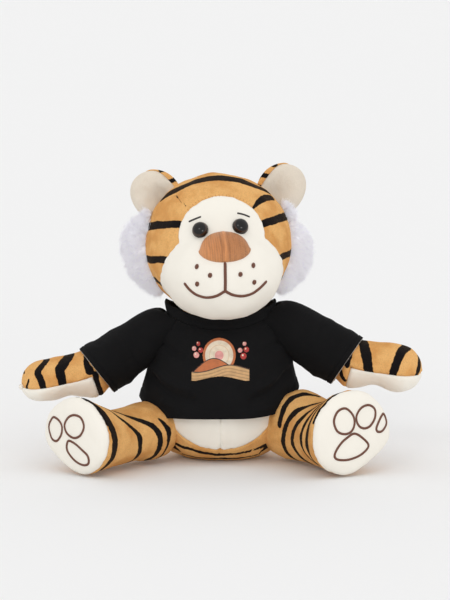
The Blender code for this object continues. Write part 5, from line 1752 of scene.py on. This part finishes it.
def make_tail():
    """A ringed tail that lies on the ground and curls to one side."""
    rows = through(stacked(TAIL_REACH_SHARES, TAIL_WIDTH_SHARES), 90)
    share, width = rows[:, :1], rows[:, 1:]
    angles = np.linspace(0, TURN, 48, endpoint=False)[None]
    centre = curve_frames(share * TAIL_LENGTH, TAIL_LENGTH, TAIL_BEND, TAIL_BEND_SHARES)
    grid = tube_point(centre, (1, 0), TAIL_RADIUS * width, TAIL_RADIUS * width, angles)
    grid[..., 1] -= (TAIL_ROOT[2] - TAIL_RADIUS + FLOOR_CUT) * eased(share / TAIL_DROP_SHARE)
    gaps = np.abs(share - np.array(TAIL_STRIPE_SHARES)).min(axis=1, keepdims=True)
    field = np.maximum(TAIL_STRIPE_HALF - gaps * TAIL_LENGTH, (share - TAIL_TIP_SHARE) * TAIL_LENGTH)
    fields = {"stripe": np.repeat(np.maximum(field, NO_STRIPE), angles.size, axis=1)}
    grid = stuffed(grid, [grid[:, 36]], 101, TAIL_LUMP)
    world = placed(grid, aimed((math.sin(TAIL_TURN), math.cos(TAIL_TURN), 0)), TAIL_ROOT)
    world[..., 2] = np.maximum(world[..., 2], 0.0)
    nodes = ("tail_cover", "tail_stuffing")
    sewn("tail_plush", world, "striped_plush", "tail", nodes, BODY_FILL, fields=fields)


# T-shirt


def hem_height(angle):
    """The hem's height, lower in front and on the tiger's right, where the shirt lies on the thigh."""
    turn = np.abs((angle + math.pi) % TURN - math.pi)
    forward = eased((turn - HEM_FRONT_ANGLE) / (HEM_SIDE_ANGLE - HEM_FRONT_ANGLE))
    backward = eased((math.pi - turn) / (math.pi - HEM_BACK_ANGLE))
    ahead, behind = HEM_FRONT + (HEM_SIDE - HEM_FRONT) * forward, HEM_BACK + (HEM_SIDE - HEM_BACK) * backward
    return np.where(turn < HEM_SIDE_ANGLE, ahead, behind) + HEM_TILT * np.sin(angle) ** 3


def neckline_height(angle):
    """The neckline's height, lowest in the middle of front and back."""
    ahead = np.cos(angle)
    dip = np.where(ahead > 0, NECKLINE_FRONT_DIP, NECKLINE_BACK_DIP)
    return TORSO_HEIGHT - NECKLINE_SINK - ahead * ahead * dip


def shirt_point(angle, share, out):
    """The shirt over the torso, at a share of the way from hem to collar, moved out."""
    low = hem_height(angle)
    height = low + (neckline_height(angle) - low) * share
    rise = (height + FLOOR_CUT) / (TORSO_HEIGHT + FLOOR_CUT)
    at = torso_point(angle, rise)
    step, around = 0.01, 0.01 * TURN
    along = torso_point(angle + around, rise) - torso_point(angle - around, rise)
    upward = torso_point(angle, rise + step) - torso_point(angle, rise - step)
    away = unit(np.cross(along, upward))
    slack = SHIRT_LOOSE * (1 - share) ** 2 + SHIRT_LOOSE / 2 * np.sin(math.pi * share)
    fold = FOLD_DEPTH * (1 - share) * (1 - np.cos(FOLD_COUNT * angle)) / 2
    flare = 0
    for side in SIDES:
        near = eased(1 - np.linalg.norm(at - np.array(SHOULDER[side]), axis=-1) / SHOULDER_FLARE_REACH)
        flare = flare + SHOULDER_FLARE * near
    return at + away * (SHIRT_EASE + slack + fold + flare + out)[..., None]


def armhole_lines(side, angle):
    """Where each line of the sleeve starts on the arm, and where it would end inside the shirt."""
    turn, at = arm_frame(side)
    rim = ARM_RADIUS + SLEEVE_ROOT_EASE + JERSEY_CLOTH
    ring = stacked(rim * np.cos(angle), rim * np.sin(angle), ARMHOLE_START)
    outer, inner = (placed(ring - np.array((0, 0, deep)), turn, at) for deep in (0, ARMHOLE_REACH))
    below = (ARMHOLE_TOP - inner[..., 2]) / ARMHOLE_SOFTNESS
    inner[..., 2] = ARMHOLE_TOP - ARMHOLE_SOFTNESS * np.logaddexp(0, below)
    return outer, inner


def armhole_ring(side, angle):
    """Where the sleeve's lines meet the shirt, evened out."""
    tree = STATE["shirt"]
    ring = []
    for first, last in zip(*armhole_lines(side, angle)):
        way = Vector(last - first)
        hit = tree.ray_cast(Vector(first), way.normalized(), way.length * 1.4)[0]
        ring.append(hit if hit is not None else tree.find_nearest(Vector(last))[0])
    ring = np.array(ring)
    for _ in range(4):
        ring = (np.roll(ring, 1, axis=0) + 2 * ring + np.roll(ring, -1, axis=0)) / 4
    return ring


def shirt_folds(grid):
    """Soft drag lines that run from the armpits across the shirt."""
    push = np.zeros(grid.shape[:2])
    for points, half, deep in SHIRT_FOLDS:
        line = through(points, 40) * MM
        gap = np.linalg.norm(grid[..., None, ::2] - line[:, ::2], axis=-1).min(axis=-1)
        ahead = grid[..., 1] * line[0, 1] > 0
        push += np.where(ahead, FOLD_GAIN * deep * MM * hump(gap, 0, half * MM), 0)
    return push


def make_shirt_body():
    """The shirt's body with its hem turned up and its armholes cut."""
    angle = np.linspace(0, TURN, 256, endpoint=False)[None]
    share = np.concatenate(((0, 0.012, 0.03, 0.09, 0.105, 0.12), np.linspace(0.15, 1.0, 62)))[:, None]
    grid = shirt_point(angle, share, JERSEY_CLOTH)
    hem = HEM_RAISED * (1 - eased((share - 0.095) / 0.02)) - HEM_GROOVE * hump(share, 0.105, 0.008)
    hem = hem + HEM_LUMP * lumps(grid, 0.006, 4) * (share < 0.13)
    push = (shirt_folds(grid) + SHIRT_LUMP * lumps(grid, 0.024, 3) + hem) * eased((1 - share) / 0.10)
    grid = grid + grid_normals(grid) * push[..., None]
    fields = {"knit": stacked(angle * SHIRT_KNIT_ROUND, 0, share * SHIRT_KNIT_ALONG)}
    body = mesh_from_grid("shirt_jersey", grid, fields=fields)
    STATE["shirt"] = mesh_tree(body)
    thicken(body, JERSEY_CLOTH)
    around = np.linspace(0, TURN, 64, endpoint=False)[None]
    cutters = []
    for side in SIDES:
        tube = np.vstack(armhole_lines(side, around)[::-1])
        middles = tube.mean(axis=1, keepdims=True)
        tube = middles + (tube - middles) * 0.965
        tube[1] += (tube[1] - tube[0]) * 0.5
        cutters.append(mesh_from_grid(f"armhole_{side}", capped(tube)))
        step = body.modifiers.new(f"armhole_{side}", "BOOLEAN")
        step.operation, step.solver, step.object = "DIFFERENCE", "EXACT", cutters[-1]
    settle(body)
    for cutter in cutters:
        bpy.data.meshes.remove(cutter.data)
    body.data.shade_smooth()
    dressed(body, finish_of("black_knit"), "black_jersey", "torso", "shirt_body")


def make_sleeves():
    """Sleeves that lie on the arm's top and hang looser below, with a turned and stitched cuff."""
    angle = np.linspace(0, TURN, 112, endpoint=False)[None]
    upper = np.maximum(np.sin(angle), 0)
    t = np.concatenate((np.linspace(0, 0.86, 30), (0.88, CUFF_SHARE, 0.91, 0.97, 0.99, 1.0)))[:, None]
    share = ARMHOLE_START / ARM_LENGTH * (1 - t) + SLEEVE_CUFF_SHARE * t
    tables = (ARM_WIDTH_SHARES, ARM_HEIGHT_SHARES)
    width, height = (read_table(ARM_REACH_SHARES, table, share) for table in tables)
    ease = SLEEVE_ROOT_EASE + (SLEEVE_CUFF_EASE - SLEEVE_ROOT_EASE) * t
    slant = np.tan(SLEEVE_CUFF_TILT) * t
    cuff = CUFF_RAISED * eased((t - CUFF_SHARE) / 0.02) - CUFF_GROOVE * hump(t, CUFF_SHARE, 0.010)
    for side, sign in SIDES.items():
        folds = SLEEVE_TWIST * t * np.sin(3 * angle + 2.2 * t + sign)
        folds += SLEEVE_RIPPLE * np.sin(5 * angle - 4 * t) * (1 - t)
        folds += SLEEVE_UPPER_DRAG * hump(t, 0.30, 0.09) * np.cos(angle - SLEEVE_DRAG_ANGLE[side])
        folds += SLEEVE_LOWER_DRAG * hump(t, 0.62, 0.08) * np.cos(angle + 1.4)
        grown = ease + JERSEY_CLOTH + folds * eased(t * 6) + cuff
        grown = np.maximum(grown, JERSEY_CLOTH + SLEEVE_LEAST_EASE)
        grid = arm_point(share, angle, width, height, grown, slant, ease - SLEEVE_ROOT_EASE)
        grid[..., 1] += read_table(SLEEVE_LIFT_SHARES, SLEEVE_LIFT[side], t) * upper
        turn, at = arm_frame(side)
        world = placed(grid, turn, at)
        ring = armhole_ring(side, angle[0])
        steps = np.linspace(0, 1, 10, endpoint=False)[:, None, None]
        arch = SHOULDER_ARCH[side] * upper[..., None] ** 1.2 * np.array((0, 0, 1))
        middle = ring + SHOULDER_REACH_SHARE[side] * (world[:1] - ring) + arch
        join = ring * (1 - steps) ** 2 + middle * 2 * steps * (1 - steps) + world[:1] * steps**2
        world = np.vstack((join, world))
        rim, back = world[-1], world[-3]
        inset = unit(rim.mean(axis=0) - rim) * (JERSEY_CLOTH + CUFF_EDGE_INSET)
        rim = rim + inset + unit(back - rim) * CUFF_EDGE_BACK
        rim = rim + stacked(*(lumps(rim, 0.004, 15 + i) for i in range(3))) * CUFF_EDGE_LUMP
        edge = edge_cord(f"cuff_edge_{side}", rim, CUFF_EDGE_RADIUS)
        dressed(edge, finish_of("cut_edge"), "black_jersey", f"arm_{side}")
        along = np.linspace(0, SLEEVE_KNIT_ALONG, len(world))[:, None]
        fields = {"knit": stacked(angle * SLEEVE_KNIT_ROUND, 0, along)}
        sleeve = mesh_from_grid(f"sleeve_jersey_{side}", world, fields=fields)
        settle(thicken(sleeve, JERSEY_CLOTH))
        sleeve.data.shade_smooth()
        dressed(sleeve, finish_of("black_knit"), "black_jersey", None)
        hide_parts(f"sleeve_{side}")
        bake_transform(sleeve)


def edge_cord(name, points, radius):
    """A thin closed cord through points."""
    ahead = unit(np.roll(points, -1, axis=0) - np.roll(points, 1, axis=0))
    out = points - points.mean(axis=0)
    out = unit(out - ahead * (out * ahead).sum(-1, keepdims=True))
    over = np.cross(ahead, out)
    around = np.linspace(0, TURN, SATIN_SIDES, endpoint=False)[None, :, None]
    grid = points[:, None] + radius * (out[:, None] * np.cos(around) + over[:, None] * np.sin(around))
    return mesh_closed_ring(name, grid, {"thread_tone_and_shade": np.full(grid.shape[:2], 0.8)})


def make_collar():
    """A ribbed neckband that stands up round the neck, highest at its sides."""
    angle = np.linspace(0, TURN, 420, endpoint=False)
    edge, below = (shirt_point(angle, share, COLLAR_THICKNESS / 2) for share in (1, 6 / 7))
    side = (np.sin(angle) ** 2)[:, None]
    width = COLLAR_WIDTH + (COLLAR_SIDE_WIDTH - COLLAR_WIDTH) * side
    upright = np.array((0, 0, 1)) + np.sin(angle)[:, None] * np.array((0.3, 0, 0))
    stand = np.maximum(side, 0.55 * (np.cos(angle) > 0)[:, None])
    rise = unit(unit(edge - below) * (1 - stand) + upright * stand)
    along = shirt_point(angle + 0.06, 1, 0) - shirt_point(angle - 0.06, 1, 0)
    away = unit(np.cross(along, rise))
    middle = edge + rise * (width / 2 - COLLAR_OVERLAP)
    place = np.cumsum(np.linalg.norm(np.diff(middle, axis=0, append=middle[:1]), axis=1))[:, None]
    ribs = round(place[-1, 0] / settings("shirt").rib)
    ridge = 0.5 + 0.5 * np.cos(TURN * ribs * place / place[-1])
    around = np.linspace(0, TURN, 24, endpoint=False)[None]
    up, out = (np.sign(part) * np.abs(part) ** 0.6 for part in (np.cos(around), np.sin(around)))
    swell = 1 + 0.16 * ridge * (1 - up * up)
    grid = middle[:, None] + rise[:, None] * (width / 2 * up)[..., None]
    grid = grid + away[:, None] * (COLLAR_THICKNESS / 2 * out * swell)[..., None]
    closed = mesh_closed_ring("collar_rib", grid, {"knit": stacked(place, 0, MM * around)})
    dressed(closed, finish_of("black_knit"), "black_jersey", "torso", "shirt_collar")


# Print: a sun over two hills, with a sprig of berries at each side


def far_hill(x, cosine):
    """The far hill's top, in numbers or in shader values."""
    return cosine((x + 6) / 7.0) * 4.0 - 2.6 - x * x * 0.010


def near_hill(x, cosine):
    """The near hill's top."""
    return cosine((x - 7) / 8.0) * 2.8 - 6.5


def print_mask(x, y):
    """Whether a place on the chest, in millimetres from the print's middle, is printed."""
    low = -13.6 + 2.2 * np.cos(x / 8.5)
    mask = (np.abs(x) < 20.5) & (y < far_hill(x, np.cos)) & (y > low)
    mask |= (np.abs(x) < 22.0) & (y < near_hill(x, np.cos)) & (y > low - 1.0)
    for across, above, radius in (PRINT_SUN, *PRINT_BERRIES):
        mask |= np.hypot(x - across, y - above) < radius
    return mask


def make_print():
    """A thin film printed on the chest, which follows the cloth."""
    art = settings("print")
    tree = BVHTree.FromObject(bpy.data.objects["shirt_jersey"], bpy.context.evaluated_depsgraph_get())
    x = np.linspace(-PRINT_WIDTH / 2, PRINT_WIDTH / 2, 150)[None]
    z = np.linspace(-PRINT_HEIGHT / 2, PRINT_HEIGHT / 2, 106)[:, None]
    flat = stacked(x, 0, z)
    spots, _ = laid_on(tree, (flat + np.array((0, 0, PRINT_MIDDLE))).reshape(-1, 3), (0, 1, 0))
    grid = spots.reshape(flat.shape) - np.array((0, FILM_LIFT, 0))
    keep = print_mask((x[:, 1:] + x[:, :-1]) / 2 / MM, (z[1:] + z[:-1]) / 2 / MM)
    film = thicken(mesh_from_grid("chest_film", grid, keep, {"film": flat / MM}, wrap=False), FILM_THICKNESS)
    finish = Finish("printed_film", 0.62)
    u, _, v = finish.parts(finish.field("film", "Vector"))
    crack, wide = finish.noise(FILM_CRACK_SIZE), finish.noise(FILM_WEAR_SIZE)

    def reach(across, above):
        x, y = u - across, v - above
        return (x * x + y * y).root()

    sun = reach(*PRINT_SUN[:2])
    paint = finish.mix(sun.step(10.6, 10.9), art.cream, art.rust)
    ray = ((sun * 1.9).sine() > 0.86) * (sun < 10.4) * (sun > 4.2)
    paint = finish.mix(ray * 0.5, paint, art.tan)
    paint = finish.mix(sun < 3.4, paint, art.pink)
    far_top, near_top = far_hill(u, Flow.cosine), near_hill(u, Flow.cosine)
    far, near = v < far_top, v < near_top
    paint = finish.mix(far, paint, art.rust)
    paint = finish.mix(far * ((far_top - v) < 0.7), paint, art.dark)
    paint = finish.mix(near, paint, art.tan)
    rows = ((near_top - v) * 2.6 + (u * 0.35).sine() * 0.8).sine() > 0.45
    paint = finish.mix(near * rows * 0.6, paint, darker(art.tan, 0.5))
    paint = finish.mix(near * ((near_top - v) < 0.7), paint, art.dark)
    for i, (across, above, radius) in enumerate(PRINT_BERRIES):
        paint = finish.mix(reach(across, above) < radius, paint, art.red if i % 2 else art.pink)
        paint = finish.mix(reach(across - 0.6, above + 0.6) < radius * 0.3, paint, art.cream)
    paint = finish.mix(wide.step(0.3, 0.7) * 0.18, paint, art.dark)
    finish.colour(finish.mix((1 - crack.step(0.25, 0.33)) * 0.5, paint, art.dark))
    finish.bump(crack * 0.5 + wide * 0.5, FILM_DEPTH)
    dressed(film, finish.material, "print_film", "torso", "chest_print")


# Stage


def make_stage():
    """Floor, even light with two soft lamps, and the camera at the photograph's place."""
    stage = settings("stage")
    scene = bpy.context.scene
    scene.view_settings.view_transform = "Standard"
    scene.view_settings.look = "None"
    angle = np.linspace(0, TURN, 64, endpoint=False)
    corners = stacked(FLOOR_REACH * np.cos(angle), FLOOR_REACH * np.sin(angle), -FLOOR_DROP)
    floor = mesh_object("floor", corners, [list(range(64))])
    finish = Finish("floor_paper", 0.9, specular_ior_level=0.1)
    finish.colour(finish.mix(finish.noise(PAPER_MOTTLE_SIZE, 1.0), stage.floor, darker(stage.floor, 1.004)))
    floor.data.materials.append(finish.material)
    world = bpy.data.worlds.new("even_light")
    world.use_nodes = True
    sky = world.node_tree.nodes["Background"]
    sky.inputs["Color"].default_value = (1, 1, 1, 1)
    sky.inputs["Strength"].default_value = stage.sky
    scene.world = world
    for name, power, spread, direction in (
        ("key_lamp", stage.key, 14, (0.35, 0.90, -0.60)),
        ("fill_lamp", stage.fill, 20, (-0.40, 1.00, -0.06)),
    ):
        lamp = bpy.data.lights.new(name, "SUN")
        lamp.energy = power
        lamp.angle = math.radians(spread)
        thing = bpy.data.objects.new(name, lamp)
        thing.rotation_euler = Vector(direction).to_track_quat("-Z", "Y").to_euler()
        scene.collection.objects.link(thing)
    camera = bpy.data.cameras.new("camera")
    camera.sensor_width = 36
    camera.lens = CAMERA_LENS
    camera.shift_x, camera.shift_y = CAMERA_SHIFT
    eye = bpy.data.objects.new("camera", camera)
    way = Vector((0, -math.cos(stage.elevation), math.sin(stage.elevation)))
    eye.location = CAMERA_AIM + way * stage.distance
    eye.rotation_euler = (-way).to_track_quat("-Z", "Y").to_euler()
    scene.collection.objects.link(eye)
    scene.camera = eye


# Operators


def operator(name, label, words, makers):
    """An operator that makes one piece or one group of like pieces."""

    def execute(self, context):
        for maker in makers:
            maker()
        return {"FINISHED"}

    body = {
        "__doc__": words,
        "bl_idname": f"plush_tiger.{name}",
        "bl_label": label,
        "bl_options": {"REGISTER", "UNDO"},
        "execute": execute,
    }
    return type(f"PLUSHTIGER_OT_{name}", (bpy.types.Operator,), body)


OPERATORS = (
    operator("stage", "Stage", "Floor, lights and camera", (make_stage,)),
    operator("torso", "Torso", "Striped cover and cream belly", (make_torso,)),
    operator("head", "Head", "Cover and face", (make_head,)),
    operator("embroidery", "Embroidery", "Brows, mouth and whisker dots", (make_embroidery,)),
    operator("nose", "Nose", "Satin stitch nose", (make_nose,)),
    operator("eyes", "Eyes", "Glossy safety eyes", (make_eyes,)),
    operator("ears", "Ears", "Cupped ears", (make_ears,)),
    operator("ruffs", "Cheek ruffs", "Long pile on the cheeks", (make_ruffs,)),
    operator("arms", "Arms", "Arms and palms", (make_arms,)),
    operator("legs", "Legs", "Legs, soles and pads", (make_legs,)),
    operator("tail", "Tail", "Ringed tail", (make_tail,)),
    operator("shirt", "T-shirt", "Body, sleeves and neckband", (make_shirt_body, make_sleeves, make_collar)),
    operator("print", "Print", "Printed film on the chest", (make_print,)),
)


class PLUSHTIGER_PT_panel(bpy.types.Panel):
    """Lists the tiger's pieces, each made by its own operator."""

    bl_label = "Plush Tiger"
    bl_idname = "PLUSHTIGER_PT_panel"
    bl_space_type = "VIEW_3D"
    bl_region_type = "UI"
    bl_category = "Plush Tiger"

    def draw(self, context):
        for made in OPERATORS:
            self.layout.operator(made.bl_idname)
        for name, group in SETTINGS.items():
            box = self.layout.box()
            for key in group.__annotations__:
                box.prop(getattr(context.scene, name), key)


CLASSES = (*SETTINGS.values(), *OPERATORS, PLUSHTIGER_PT_panel)


def register():
    """Add the tiger's settings, operators and panel to Blender."""
    for made in CLASSES:
        bpy.utils.register_class(made)
    for name, group in SETTINGS.items():
        setattr(bpy.types.Scene, name, PointerProperty(type=group))


def unregister():
    """Take them out again."""
    for name in SETTINGS:
        delattr(bpy.types.Scene, name)
    for made in reversed(CLASSES):
        bpy.utils.unregister_class(made)


def main():
    """Make every piece, and write the boxes of the packed and the sewn model."""
    register()
    for made in OPERATORS:
        getattr(bpy.ops.plush_tiger, made.bl_idname.split(".")[1])()


if __name__ == "__main__":
    main()
